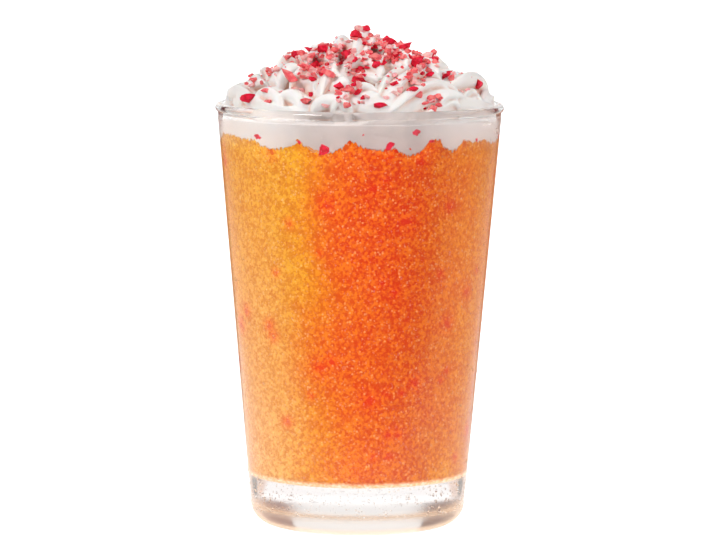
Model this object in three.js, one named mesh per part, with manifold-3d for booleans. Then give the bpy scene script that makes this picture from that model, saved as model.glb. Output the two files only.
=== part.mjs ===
// A frozen slush drink: a tapered tumbler with a thick base, filled with orange ice slush and
// topped with whipped cream, piped in a rising coil with short folds on it, and fruit crumbs.
// Millimetres, +Z up. The origin is the middle of the underside, on the surface it stands on.

import * as THREE from "three";
import { mergeVertices } from "three/addons/utils/BufferGeometryUtils.js";
import Module from "manifold-3d";

// Driving dimensions of the tumbler
const glassHeight = 134;
const baseRadius = 33.4; // of the outer cone, carried down to the underside
const topRadius = 45.2; // of the outer cone, at the rim's height
const wallThickness = 2.4;
const floorHeight = 15.8; // top of the thick base
const heelRound = 7;
const innerCornerRound = 3;
const beadProud = 0.6; // how far the rim's bead stands out of the cone
const beadRadius = (wallThickness + beadProud) / 2;
const neckHeight = glassHeight - 1.7 * beadRadius; // where the bead meets the plain wall
const footRadius = 21; // inside edge of the flat ring that the glass stands on
const footRecess = 1;

// Driving dimensions of the filling
const contactGap = 0.3; // between pieces that touch
const slushLevel = 125.4; // highest point that the slush reaches at the wall
const slushMiddle = 121; // level of the slush away from the wall
const creamShoulder = 130.5; // where the cream's flat layer ends and the piped coil starts

// Driving dimensions of the piped coil: turn 0 is where it leaves the outer ring and climbs
const coilStart = -0.85;
const coilEnd = 3.38;
const ringRadius = 34.4;
const ringHeight = 130.6;
const radiusPerTurn = 9.7;
const risePerTurn = 5.7;
const coilTurnedBy = 2.4; // radians
const coilStretches = 12; // short solids that the coil is joined from
const mostSections = 8; // of the first stretch
const sectionsLost = 0.4; // from one stretch to the next, as the coil tightens
const fewestSections = 4;
const waveCount = 6.5; // waves of the coil in a full circle
const waveOut = 2.2;
const waveUp = 1.6;
const waveLag = 1.9; // radians from the sideways wave to the upright one
const waveFade = 0.22; // share of the waves lost in a turn
const ropeRadius = 8.6;
const slimPerTurn = 0.07; // share of the rope's reach lost in a turn
const swellShare = 0.12;
const swellRate = 37; // radians in a turn
const tipTaper = 0.62; // turns over which the rope thins to its tip
const tipShare = 0.1;
const twistPerTurn = 4; // radians
const wobble = 1.3;
const wobbleRate = 9;
const clearOfAxis = 0.4;

// The rope's star section: each lobe starts at a sharp ridge and falls away in a curve to a crease
const starLobes = 5;
const starDepth = 0.38;
const creaseShare = 0.8; // how far along a lobe its crease lies
const petalCurve = 1.8;
const petalShares = [0, 0.42, 0.84]; // points of a lobe, from its ridge towards its crease

// Short folds piped onto the front of the coil. Each has its start, bend and end as (x, z) seen from
// the front, then its reach, its number of lobes and its twist in radians.
const frontFolds = [
  [[-26, 142.5], [-21.5, 148.5], [-14, 146.5], 4.6, 4, 1],
  [[-17, 144], [-23, 145.5], [-25.5, 139.5], 4.8, 3, 1.2],
  [[-12, 141], [-17, 145], [-21.5, 138.5], 5, 4, 1.5],
  [[-3, 141], [-9, 143.5], [-13, 136], 5.4, 4, 1.6],
  [[7, 137], [-2, 140], [-9, 133.5], 5.2, 4, 1.4],
  [[27, 138.5], [14, 146], [5, 136.5], 5.8, 5, 1.8],
  [[32, 136], [18, 141], [8, 133.5], 5.4, 5, 1.5],
  [[6, 147], [11, 151.5], [14.5, 144], 5.2, 3, 1.2],
  [[14, 146], [20.5, 147.5], [23.5, 140.5], 5.2, 4, 1.4],
  [[-9, 148], [-6, 154.5], [-1, 149.5], 4.5, 3, 1.4],
  [[-2.5, 147], [1.5, 159], [6.5, 150.5], 4.6, 4, 0.7],
  [[-17, 145.5], [-12, 151.5], [-7, 145.5], 4.9, 4, 1.5],
  [[-4, 146], [2, 149.5], [7, 142.5], 5.2, 4, 1.6],
  [[27, 140.5], [35.5, 142], [39.5, 135], 4.8, 3, 1.2],
  [[-28, 140], [-33.5, 139.5], [-37.5, 133.5], 4.8, 3, 1.2],
  [[-39.5, 134.5], [-37, 139], [-32, 134], 4.2, 3, 0.8],
  [[-31, 135], [-27, 139.5], [-23, 134], 4.6, 3, 0.8],
  [[-24, 136], [-20, 139], [-17, 133.5], 4.2, 3, 1],
  [[-15, 134], [-9, 138.5], [-2, 133.5], 4.6, 3, 0.6],
  [[24, 135], [27.5, 138], [30.5, 134], 3.2, 5, 0.6],
  [[31, 135.5], [34.5, 138.5], [37.5, 134], 3.2, 5, 0.6],
  [[38, 135], [40, 137.5], [41, 133], 3, 4, 0.6],
];
const backFoldCount = 11;
const backFoldsLow = 133.5; // heights between which the folds at the back are spread
const backFoldsHigh = 147;
const foldDepth = 0.5; // of the creases in a fold's star section
const foldSteps = 6; // sections along a fold
const foldBluntness = 5; // higher numbers round a fold off nearer its ends
const foldEndShare = 0.05; // of its reach that is left at its ends
const moundProfile = [
  // height and radius of the smooth cone that the folds' centre lines follow
  [129, 41.5],
  [134, 40.5],
  [140, 33],
  [146, 23.5],
  [150, 16],
  [154, 8],
  [160, 0.5],
];

// Driving numbers of the crumbs. The largest are placed one by one, as x, height and length seen from
// the front, from slightly above; the others fall from above.
const largeCrumbs = [
  [-1.6, 155.4, 4.2],
  [2.2, 157.2, 4.4],
  [8.8, 152.4, 4.2],
  [13.6, 151, 4.4],
  [-11.9, 150.4, 4.4],
  [-3.8, 148.5, 4.4],
  [-20.1, 148.6, 3.4],
  [-15.5, 147.6, 4.2],
  [10.7, 148.8, 3.8],
  [17.6, 146.4, 7.6],
  [21.4, 148.4, 3.6],
  [21.7, 142.5, 3.6],
  [27.4, 142.4, 3.6],
  [37.1, 139.4, 4.2],
  [-34.6, 134.4, 5.4],
  [5.7, 132.6, 5],
  [0, 140.5, 4.4],
  [-21.4, 141.3, 5.4],
  [-9.7, 142.4, 5.2],
  [4.7, 147.6, 4.2],
  [-4, 137.4, 4],
  [-33, 140.6, 3.8],
  [18.2, 136.4, 3.8],
  [22.3, 134.2, 3.8],
  [-16.8, 133.8, 3.6],
  [-10.4, 132.6, 3.2],
  [-28, 133.8, 3],
  [-29.4, 137.2, 3],
  [20, 132.4, 3],
];
const viewFall = THREE.MathUtils.degToRad(4);
const viewAway = 200;
const crumbLift = 0.12; // share of its length that a crumb's middle stands above the cream
const crumbCount = 48;
const crumbLongest = 4;
const crumbShortest = 1.6;
const crumbReach = 36; // how far from the axis they lie
const goldenAngle = THREE.MathUtils.degToRad(137.508);

const aroundSteps = 56;
const shortestEdge = 0.15; // left on the cream before the crumbs are joined to it
const shortestCrumbEdge = 0.1; // and afterwards
const pinchGap = 0.03;
const wasm = await Module();
wasm.setup();

// Cream lobes that sink into the slush along the wall: azimuth from the front (-Y) towards +X,
// half width, both in degrees, and depth below slushLevel.
const frontLobes = [
  [-52, 12, 0.9],
  [-38.5, 11.5, 3.4],
  [-15, 10.5, 4.2],
  [8.5, 11.5, 3],
  [21.5, 8.5, 4.8],
  [42, 6.5, 3.8],
  [57, 9, 1.5],
  [74, 12, 2.6],
];
const backLobes = Array.from({ length: 9 }, (_, i) => [
  94 + 22 * i,
  10 + 3 * spread(i, 1),
  1.8 + 2.6 * spread(i, 2),
]);
const lobeRoundness = 0.8;
const wallLobes = [...frontLobes, ...backLobes];

// A repeatable number from 0 to 1 for piece i and use k.
function spread(i, k) {
  const s = Math.sin(i * 12.9898 + k * 78.233) * 43758.5453;
  return s - Math.floor(s);
}

function outerRadius(z) {
  return baseRadius + ((topRadius - baseRadius) * z) / glassHeight;
}

function innerRadius(z) {
  return outerRadius(z) - wallThickness;
}

// Height of the line along the wall where cream meets slush, at an azimuth in radians.
function wallLine(azimuth) {
  const degrees = THREE.MathUtils.radToDeg(azimuth);
  let depth = 0;
  for (const [middle, halfWidth, deepest] of wallLobes) {
    const away = THREE.MathUtils.euclideanModulo(degrees - middle + 180, 360) - 180;
    const share = 1 - (away / halfWidth) ** 2;
    if (share > 0) depth = Math.max(depth, deepest * share ** lobeRoundness);
  }
  return slushLevel - depth;
}

// Height of the face between cream and slush: the wall's line, levelling out inwards.
function contactHeight(azimuth, share) {
  const inwards = THREE.MathUtils.smoothstep(share, 0.45, 1);
  return THREE.MathUtils.lerp(slushMiddle, wallLine(azimuth), inwards);
}

// A point at a radius, an azimuth from the front and a height.
function polar(radius, azimuth, z) {
  return new THREE.Vector3(radius * Math.sin(azimuth), -radius * Math.cos(azimuth), z);
}

// A closed geometry from rings of points, each ring as long as the next, shut by two end points.
function closedSkin(first, rings, last) {
  const steps = rings[0].length;
  const points = [first, ...rings.flat(), last];
  const at = (ring, step) => 1 + ring * steps + (step % steps);
  const faces = [];
  for (let step = 0; step < steps; step++) {
    faces.push(0, at(0, step + 1), at(0, step));
    for (let ring = 0; ring + 1 < rings.length; ring++) {
      faces.push(at(ring, step), at(ring, step + 1), at(ring + 1, step + 1));
      faces.push(at(ring, step), at(ring + 1, step + 1), at(ring + 1, step));
    }
    faces.push(points.length - 1, at(rings.length - 1, step), at(rings.length - 1, step + 1));
  }
  return new THREE.BufferGeometry().setFromPoints(points).setIndex(faces);
}

// Arc points of a rounded corner in a lathe profile, from one angle to another.
function arc(centreX, centreY, radius, from, to, steps) {
  return Array.from({ length: steps + 1 }, (_, i) => {
    const angle = THREE.MathUtils.degToRad(from + ((to - from) * i) / steps);
    return new THREE.Vector2(centreX + radius * Math.cos(angle), centreY + radius * Math.sin(angle));
  });
}

// A profile of radius and height, turned round the upright axis.
function turned(profile) {
  return new THREE.LatheGeometry(profile, aroundSteps).rotateX(Math.PI / 2);
}

function toSolid(geometry) {
  const bare = geometry.clone();
  bare.deleteAttribute("normal");
  bare.deleteAttribute("uv");
  const merged = mergeVertices(bare, 1e-4);
  return new wasm.Manifold(
    new wasm.Mesh({
      numProp: 3,
      vertProperties: merged.attributes.position.array,
      triVerts: new Uint32Array(merged.index.array),
    }),
  );
}

function toGeometry(solid) {
  const mesh = solid.getMesh();
  return new THREE.BufferGeometry()
    .setAttribute("position", new THREE.BufferAttribute(mesh.vertProperties, 3))
    .setIndex(new THREE.BufferAttribute(mesh.triVerts, 1));
}

// Draws points that lie on other points of the same skin back into it, so that no two edges coincide.
function unpinched(geometry) {
  geometry.computeVertexNormals();
  const { position, normal } = geometry.attributes;
  const indices = Array.from({ length: position.count }, (_, i) => i);
  const places = Map.groupBy(indices, (i) => {
    return [position.getX(i), position.getY(i), position.getZ(i)].map((v) => v.toFixed(3)).join();
  });
  for (const together of places.values()) {
    if (together.length < 2) continue;
    for (const i of together) {
      const inwards = new THREE.Vector3().fromBufferAttribute(normal, i).multiplyScalar(-pinchGap);
      const point = new THREE.Vector3().fromBufferAttribute(position, i).add(inwards);
      position.setXYZ(i, point.x, point.y, point.z);
    }
  }
  geometry.deleteAttribute("normal");
  return geometry;
}

// The largest body, with its edges shorter than a limit closed up, without loose scraps or hidden hollows.
function outerBody(solid, edgeLimit) {
  const bodies = solid.asOriginal().simplify(edgeLimit).decompose();
  return bodies.reduce((a, b) => (a.volume() > b.volume() ? a : b));
}

// The tumbler, turned from one profile: foot, heel, cone, beaded rim, inner cone and floor.
function tumbler() {
  const heelX = outerRadius(heelRound) - heelRound;
  const beadMiddle = glassHeight - beadRadius;
  const beadX = outerRadius(beadMiddle) + beadProud - beadRadius;
  const cornerZ = floorHeight + innerCornerRound;
  const profile = [
    new THREE.Vector2(0, footRecess),
    new THREE.Vector2(footRadius - 2 * footRecess, footRecess),
    new THREE.Vector2(footRadius, 0),
    ...arc(heelX, heelRound, heelRound, -90, -4, 5),
    new THREE.Vector2(outerRadius(neckHeight), neckHeight),
    ...arc(beadX, beadMiddle, beadRadius, -35, 215, 6),
    new THREE.Vector2(innerRadius(neckHeight), neckHeight),
    ...arc(innerRadius(cornerZ) - innerCornerRound, cornerZ, innerCornerRound, 4, -90, 3),
    new THREE.Vector2(0, floorHeight),
  ];
  return turned(profile);
}

// A ring of points at a radius and height that may change round the axis.
function ringOf(radiusAt, heightAt) {
  return Array.from({ length: aroundSteps }, (_, step) => {
    const azimuth = (2 * Math.PI * step) / aroundSteps;
    return polar(radiusAt(azimuth), azimuth, heightAt(azimuth));
  });
}

// Rings of the face between cream and slush, moved up or down by half the gap.
function contactRings(shift) {
  return [0.3, 0.6, 0.8, 1].map((share) =>
    ringOf(
      (azimuth) => share * (innerRadius(contactHeight(azimuth, share)) - contactGap),
      (azimuth) => contactHeight(azimuth, share) + shift,
    ),
  );
}

// The slush: from the cream down the tumbler's wall to its floor. Built from the top like the cream, so
// that both pieces split their shared face the same way, and then faced outwards.
function slush() {
  const floor = floorHeight + contactGap;
  const cornerZ = floor + innerCornerRound;
  const cornerX = innerRadius(cornerZ) - contactGap - innerCornerRound;
  const corner = arc(cornerX, cornerZ, innerCornerRound, 0, -90, 3);
  const sides = corner.map((p) => ringOf(() => p.x, () => p.y));
  const top = polar(0, 0, slushMiddle - contactGap / 2);
  const skin = closedSkin(top, [...contactRings(-contactGap / 2), ...sides], polar(0, 0, floor));
  return skin.setIndex([...skin.index.array].reverse());
}

// A body of cream that starts on the slush and is closed above by rings of radius and height.
function creamBody(upperRings, topHeight) {
  const rings = upperRings.map(([radius, z]) => ringOf(() => radius, () => z));
  const bottom = polar(0, 0, slushMiddle + contactGap / 2);
  return toSolid(closedSkin(bottom, [...contactRings(contactGap / 2), ...rings], polar(0, 0, topHeight)));
}

// The layer inside the tumbler and the core under the coil.
function creamLayer() {
  const sideRadius = innerRadius(creamShoulder) - contactGap;
  const rings = [
    [sideRadius, creamShoulder],
    [sideRadius - 6, creamShoulder + 2.5],
    [sideRadius - 18, creamShoulder + 8.5],
    [sideRadius - 30, creamShoulder + 15.5],
  ];
  return creamBody(rings, creamShoulder + 19.5);
}

// The bound that the cream keeps to: above the slush and inside the tumbler, carried on upwards.
function insideBound() {
  const sideRadius = innerRadius(glassHeight) - contactGap;
  const clearAbove = glassHeight + 40;
  return creamBody([[sideRadius, glassHeight], [sideRadius, clearAbove]], clearAbove);
}

// The rope's widest reach: it swells and slims along its length, and thins to the tip.
function ropeSize(turn) {
  const toTip = THREE.MathUtils.clamp((coilEnd - turn) / tipTaper, tipShare, 1);
  const swell = 1 + swellShare * Math.sin(swellRate * turn);
  return ropeRadius * (1 - slimPerTurn * Math.max(turn, 0)) * Math.sqrt(toTip) * swell;
}

// The rope's centre line: a ring along the wall that then climbs inwards in a coil, waving as it goes.
// It keeps off the axis by its own size, so that no section folds over.
function ropeCentre(turn) {
  const climbed = Math.max(turn, 0);
  const azimuth = 2 * Math.PI * turn + coilTurnedBy;
  const wave = 1 - waveFade * climbed;
  const radius = ringRadius - radiusPerTurn * climbed + waveOut * wave * Math.sin(waveCount * azimuth);
  const z = ringHeight + risePerTurn * climbed + waveUp * wave * Math.sin(waveCount * azimuth + waveLag);
  return { azimuth, radius: Math.max(radius, ropeSize(turn) + clearOfAxis), z };
}

// A star section as angles and shares of the full reach. Each lobe starts at a sharp ridge, falls away in
// a curve to a crease and rises steeply to the next ridge, so that the lobes overlap like petals.
function star(lobes, depth) {
  return Array.from({ length: lobes }, (_, lobe) =>
    petalShares.map((share) => ({
      angle: (2 * Math.PI * (lobe + share * creaseShare)) / lobes,
      reach: 1 - depth * share ** petalCurve,
    })),
  ).flat();
}

// One stretch of rope, short enough not to meet itself, as a closed solid.
function ropeStretch(from, to, steps) {
  const rings = Array.from({ length: steps + 1 }, (_, i) => {
    const turn = from + ((to - from) * i) / steps;
    const centre = ropeCentre(turn);
    const twist = twistPerTurn * turn + wobble * Math.sin(wobbleRate * turn);
    return star(starLobes, starDepth).map(({ angle, reach }) => {
      const out = ropeSize(turn) * reach * Math.cos(angle + twist);
      const down = ropeSize(turn) * reach * Math.sin(angle + twist);
      return polar(centre.radius + out, centre.azimuth, centre.z - down);
    });
  });
  const ends = [from, to].map((turn) => {
    const centre = ropeCentre(turn);
    return polar(centre.radius, centre.azimuth, centre.z);
  });
  return toSolid(closedSkin(ends[0], rings, ends[1]));
}

// The point of the mound's smooth cone seen at (x, z) from the front (facing -1) or the back (1).
function onMound([x, z], facing) {
  const above = moundProfile.findIndex(([height]) => height >= z);
  const [[lowZ, lowRadius], [highZ, highRadius]] = moundProfile.slice(above - 1, above + 1);
  const radius = THREE.MathUtils.mapLinear(z, lowZ, highZ, lowRadius, highRadius);
  return new THREE.Vector3(x, facing * Math.sqrt(Math.max(radius ** 2 - x ** 2, 1)), z);
}

// A fold: a star-section tube along a bent line, rounded off at both ends. All its sections are square
// to the straight line between its ends, so that they never cross.
function foldTube([start, bend, end, widest, lobes, twist], facing) {
  const line = new THREE.QuadraticBezierCurve3(...[start, bend, end].map((p) => onMound(p, facing)));
  const along = line.v2.clone().sub(line.v0).normalize();
  const side = along.clone().cross(new THREE.Vector3(line.v1.x, line.v1.y, 0)).normalize();
  const over = along.clone().cross(side);
  const rings = Array.from({ length: foldSteps + 1 }, (_, i) => {
    const t = (1 - Math.cos((Math.PI * i) / foldSteps)) / 2;
    const size = widest * Math.max(Math.sqrt(1 - Math.abs(2 * t - 1) ** foldBluntness), foldEndShare);
    return star(lobes, foldDepth).map(({ angle, reach }) => {
      const turned = angle - twist * t;
      const point = line.getPoint(t).addScaledVector(side, size * reach * Math.cos(turned));
      return point.addScaledVector(over, size * reach * Math.sin(turned));
    });
  });
  return toSolid(closedSkin(line.v0, rings, line.v2));
}

// A fold at the back: its place by the golden angle, its height rising with its number.
function backFold(i) {
  const z = THREE.MathUtils.lerp(backFoldsLow, backFoldsHigh, i / backFoldCount);
  const x = 0.85 * Math.abs(onMound([0, z], 1).y) * Math.sin(2.4 * i + 1);
  const run = (4.5 + 3 * spread(i, 52)) * (spread(i, 51) > 0.5 ? 1 : -1);
  const end = [x + 0.8 * run, z - 3 - 3 * spread(i, 54)];
  return [[x - run, z], [x, z + 5.5], end, 4.6 + spread(i, 53), 3 + (i % 3), 1.2 + spread(i, 55)];
}

function pipedCream() {
  const length = (coilEnd - coilStart) / coilStretches;
  let cream = creamLayer();
  for (let i = 0; i < coilStretches; i++) {
    const from = coilStart + i * length;
    const steps = Math.max(fewestSections, Math.round(mostSections - sectionsLost * i));
    cream = cream.add(ropeStretch(from, from + length, steps));
  }
  for (const fold of frontFolds) {
    cream = cream.add(foldTube(fold, -1));
  }
  for (let i = 0; i < backFoldCount; i++) {
    cream = cream.add(foldTube(backFold(i), 1));
  }
  return outerBody(cream.intersect(insideBound()), shortestEdge);
}

// One crumb: an uneven many-sided chip, longer than wide and flatter than both.
function crumbGeometry(i, length) {
  const geometry = new THREE.IcosahedronGeometry(1, 0);
  geometry.deleteAttribute("normal");
  geometry.deleteAttribute("uv");
  const chip = mergeVertices(geometry, 1e-4);
  const corners = chip.attributes.position;
  for (let c = 0; c < corners.count; c++) {
    const reach = 0.62 + 0.6 * spread(i, 20 + c);
    corners.setXYZ(c, corners.getX(c) * reach, corners.getY(c) * reach, corners.getZ(c) * reach);
  }
  const width = length * (0.55 + 0.35 * spread(i, 5));
  const thickness = length * (0.35 + 0.3 * spread(i, 6));
  return chip.scale(length / 2, width / 2, thickness / 2);
}

// Where the crumbs lie: rays that find the cream, and the lengths of the crumbs there.
function crumbPlaces() {
  const fromFront = largeCrumbs.map(([x, z, length]) => ({
    start: new THREE.Vector3(x, -viewAway, z + viewAway * Math.tan(viewFall)),
    way: new THREE.Vector3(0, Math.cos(viewFall), -Math.sin(viewFall)),
    length,
  }));
  const fromAbove = Array.from({ length: crumbCount }, (_, i) => ({
    start: polar(crumbReach * spread(i, 3) ** 0.85, goldenAngle * i, glassHeight + 60),
    way: new THREE.Vector3(0, 0, -1),
    length: crumbShortest + (crumbLongest - crumbShortest) * (1 - i / crumbCount) ** 1.6,
  }));
  return [...fromFront, ...fromAbove];
}

function sprinkle(cream) {
  const target = new THREE.Mesh(toGeometry(cream), new THREE.MeshBasicMaterial({ side: THREE.DoubleSide }));
  let sprinkled = cream;
  crumbPlaces().forEach(({ start, way, length }, i) => {
    const hit = new THREE.Raycaster(start, way).intersectObject(target)[0];
    if (!hit) return;
    const chip = crumbGeometry(i, length);
    chip.applyQuaternion(
      new THREE.Quaternion().setFromEuler(
        new THREE.Euler(6.28 * spread(i, 7), 1.2 * spread(i, 8) - 0.6, 6.28 * spread(i, 9)),
      ),
    );
    chip.translate(hit.point.x, hit.point.y, hit.point.z + crumbLift * length);
    sprinkled = sprinkled.add(toSolid(chip));
  });
  return outerBody(sprinkled, shortestCrumbEdge);
}

function piece(name, geometry, colour, roughness) {
  const material = new THREE.MeshStandardMaterial({ color: colour, roughness, metalness: 0 });
  const mesh = new THREE.Mesh(geometry, material);
  mesh.name = name;
  return mesh;
}

const drink = new THREE.Group();
drink.add(piece("glass", tumbler(), 0xe8eef0, 0.05));
drink.add(piece("slush", slush(), 0xee6d1c, 0.4));
drink.add(piece("cream", unpinched(toGeometry(sprinkle(pipedCream()))), 0xf4efea, 0.55));

export default drink;
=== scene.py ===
# %% [markdown]
# # A frozen slush drink in a clear tumbler
#
# The solids of this drink come from a CAD model: a tapered tumbler, the slush in it and the whipped
# cream on top, all in one frame. The origin is the middle of the underside, +Z is up and -Y looks at
# the camera. This lesson swaps each plain solid for a finer surface of the same size, adds what is too
# small for the solids (ice grains, crumbs, condensation), then colours, lights and photographs it.
#
# Shapes are worked out in millimetres, as numpy arrays, and scaled to metres when a mesh is made.

import bmesh
import bpy
import numpy as np
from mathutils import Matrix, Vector
from mathutils.bvhtree import BVHTree


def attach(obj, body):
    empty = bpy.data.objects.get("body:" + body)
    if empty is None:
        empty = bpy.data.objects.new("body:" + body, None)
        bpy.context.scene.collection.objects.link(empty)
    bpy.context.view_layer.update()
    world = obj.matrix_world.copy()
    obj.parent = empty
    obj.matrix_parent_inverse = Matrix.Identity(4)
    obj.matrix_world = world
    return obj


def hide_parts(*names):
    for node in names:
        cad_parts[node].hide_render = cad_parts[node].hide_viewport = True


MM = 0.001
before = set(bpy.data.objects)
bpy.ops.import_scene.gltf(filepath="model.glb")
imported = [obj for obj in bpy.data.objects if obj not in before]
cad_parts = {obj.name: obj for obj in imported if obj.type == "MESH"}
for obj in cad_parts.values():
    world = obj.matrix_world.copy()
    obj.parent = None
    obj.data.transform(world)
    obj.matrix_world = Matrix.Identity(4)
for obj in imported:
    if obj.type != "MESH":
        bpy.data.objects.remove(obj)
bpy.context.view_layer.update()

# %% [markdown]
# ## Small helpers
#
# Nearly every surface here is a stack of closed rings, shut at each end by one point, or many copies of
# a small ball. Both could be built from primitives and modifiers, but as arrays a whole surface is one
# formula, worked out at once. `spread` stands in for a random generator: it gives the same numbers on
# every run, and the CAD source uses it too.


# %% Numbers that look random, but never change
def spread(i, k):
    """A repeatable number from 0 to 1 for piece i and use k: the fraction of a large sine."""
    s = np.sin(i * 12.9898 + k * 78.233) * 43758.5453
    return s - np.floor(s)


GOLDEN = np.radians(137.508)
print("three of these numbers:", spread(np.arange(3), 1).round(3))


# %% Soft steps, points round the axis, and points drawn towards it
def smoothstep(x, low, high):
    """0 below low, 1 above high, and the cubic 3t^2 - 2t^3 between them."""
    t = np.clip((x - low) / (high - low), 0, 1)
    return t * t * (3 - 2 * t)


def polar(radius, azimuth, z):
    """Points at a radius and an azimuth from the front (-Y) towards +X: x = r sin a, y = -r cos a."""
    radius, azimuth, z = np.broadcast_arrays(radius, azimuth, z)
    return np.stack([radius * np.sin(azimuth), -radius * np.cos(azimuth), z], axis=-1)


def draw_in(points, limit):
    """Points moved level towards the axis until none is further from it than the limit given for it."""
    radius = np.hypot(points[..., 0], points[..., 1])
    factor = np.minimum(1, limit / np.maximum(radius, 1e-6))
    return points * np.stack([factor, factor, np.ones_like(factor)], -1)


print("a quarter of the way, a soft step has risen by", smoothstep(0.25, 0, 1).round(3))


# %% From arrays to objects
def mesh_from(name, points, faces, smooth=True):
    """A mesh from points in mm and a list of face arrays, each with one face per row."""
    mesh = bpy.data.meshes.new(name)
    sizes = np.concatenate([np.full(len(f), f.shape[1]) for f in faces])
    corners = np.concatenate([f.ravel() for f in faces])
    mesh.vertices.add(len(points))
    mesh.vertices.foreach_set("co", (np.asarray(points, float) * MM).ravel())
    mesh.loops.add(len(corners))
    mesh.loops.foreach_set("vertex_index", corners.astype(np.int32))
    mesh.polygons.add(len(sizes))
    mesh.polygons.foreach_set("loop_start", (np.cumsum(sizes) - sizes).astype(np.int32))
    mesh.polygons.foreach_set("use_smooth", np.full(len(sizes), smooth))
    mesh.update(calc_edges=True)
    mesh.validate()
    print(f"{name}: {len(points)} points, {int((sizes - 2).sum())} triangles")
    return mesh


def link(name, data):
    """A new object with this data, at the origin, in the scene."""
    thing = bpy.data.objects.new(name, data)
    bpy.context.scene.collection.objects.link(thing)
    return thing


def add_piece(name, mesh):
    """A piece of the drink: an object with this mesh, on the one body."""
    piece = link(name, mesh)
    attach(piece, "root")
    return piece


print("on the way into a mesh, a length in mm is multiplied by", MM)


# %% Skins and profiles
def skin(rings, first, last):
    """Points and faces of a closed skin: quads between neighbouring rings, and a fan from each end.

    rings has shape (rings, steps, 3). Rings run upwards and steps run anticlockwise seen from above,
    so that the faces look outwards. first and last are the end points.
    """
    n, m = rings.shape[:2]
    points = np.vstack([first, rings.reshape(-1, 3), last])
    i, j = np.mgrid[0 : n - 1, 0:m]
    k = (j + 1) % m
    quads = np.stack([1 + i * m + j, 1 + i * m + k, 1 + (i + 1) * m + k, 1 + (i + 1) * m + j], -1)
    step = np.arange(m)
    after = (step + 1) % m
    low = np.stack([np.zeros(m, int), 1 + after, 1 + step], -1)
    high = np.stack([np.full(m, n * m + 1), 1 + (n - 1) * m + step, 1 + (n - 1) * m + after], -1)
    return points, [quads.reshape(-1, 4), low, high]


def arc(centre_x, centre_z, radius, start, end, steps):
    """Profile points of a rounded corner: a circle's points from one angle to another in degrees."""
    angle = np.radians(np.linspace(start, end, steps + 1))
    return np.stack([centre_x + radius * np.cos(angle), centre_z + radius * np.sin(angle)], -1)


def slope(radius_at, start, end, steps):
    """Profile points along a cone from one height to another, at the cone's radius at each height."""
    z = np.linspace(start, end, steps)
    return np.stack([radius_at(z), z], -1)


def turned(profile, steps):
    """Rings of a surface of revolution: one circle for each profile point (radius, height)."""
    azimuth = np.linspace(0, 2 * np.pi, steps, endpoint=False)
    profile = np.asarray(profile)
    return polar(profile[:, :1], azimuth[None, :], profile[:, 1:])


print("a quarter circle in 4 steps:", arc(0, 0, 1, 0, 90, 4).round(2).tolist())

# %% [markdown]
# ## The tumbler
#
# This is a pressed mixing tumbler: recessed foot, rounded heel, straight cone, beaded rim and a thick
# base inside. It could be a cylinder with bevels, but glass shows every uneven facet. So it is one
# profile turned round the axis, with an arc for each rounded corner. The sizes are those of the CAD
# source.

# %% Tumbler sizes
GLASS_HEIGHT = 134.0
BASE_RADIUS, TOP_RADIUS = 33.4, 45.2
WALL = 2.4
FLOOR = 15.8
HEEL, CORNER = 7.0, 3.0
BEAD_PROUD = 0.6
FOOT_RADIUS, FOOT_WIDTH, FOOT_RECESS = 21.0, 2.0, 1.0
RECESS_MIDDLE, RECESS_STEP, STEP_RADIUS = 6, 3, 0.5
OUTSIDE_START, INSIDE_END = 12, 26
FLOOR_MIDDLE, FLOOR_RIM = 8, 20
TURN_STEPS, SLOPE_STEPS = 192, 12


def outer_radius(z):
    """Radius of the outer cone at height z."""
    return BASE_RADIUS + (TOP_RADIUS - BASE_RADIUS) * z / GLASS_HEIGHT


def inner_radius(z):
    """Radius of the inner cone at height z: the outer one less the wall."""
    return outer_radius(z) - WALL


bead_radius = (WALL + BEAD_PROUD) / 2
bead_mid = GLASS_HEIGHT - bead_radius
bead_x = outer_radius(bead_mid) + BEAD_PROUD - bead_radius
neck = GLASS_HEIGHT - 1.7 * bead_radius
print("rim", round(2 * (bead_x + bead_radius), 1), "mm across, foot", 2 * BASE_RADIUS, "mm")

# %% Tumbler profile and surface
glass_profile = np.vstack(
    [
        [[RECESS_MIDDLE, FOOT_RECESS], [FOOT_RADIUS - RECESS_STEP, FOOT_RECESS]],
        arc(FOOT_RADIUS - FOOT_WIDTH, STEP_RADIUS, STEP_RADIUS, 90, 40, 3),
        [[FOOT_RADIUS, 0], [FOOT_RADIUS + FOOT_WIDTH, 0]],
        arc(outer_radius(HEEL) - HEEL, HEEL, HEEL, -90, -4, 20),
        slope(outer_radius, OUTSIDE_START, neck, SLOPE_STEPS),
        arc(bead_x, bead_mid, bead_radius, -35, 215, 26),
        slope(inner_radius, neck, INSIDE_END, SLOPE_STEPS),
        arc(inner_radius(FLOOR + CORNER) - CORNER, FLOOR + CORNER, CORNER, 4, -90, 14),
        [[FLOOR_RIM, FLOOR], [FLOOR_MIDDLE, FLOOR]],
    ]
)
rings = turned(glass_profile, TURN_STEPS)
glass_mesh = mesh_from("glass_fine", *skin(rings, [0, 0, FOOT_RECESS], [0, 0, FLOOR]))
glass = add_piece("glass_fine", glass_mesh)
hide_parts("glass")

# %% [markdown]
# ## Where the cream meets the slush
#
# The cream was piped onto the slush, so round the wall it hangs into it in lobes. The line could be a
# drawn curve, but as a function of the azimuth it shapes both surfaces, and they meet without a gap.
# Each lobe is (azimuth, half width, depth) in degrees and mm, and its edge is a rounded arch. A little
# noise roughens the line, as the ice grains do.

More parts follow.
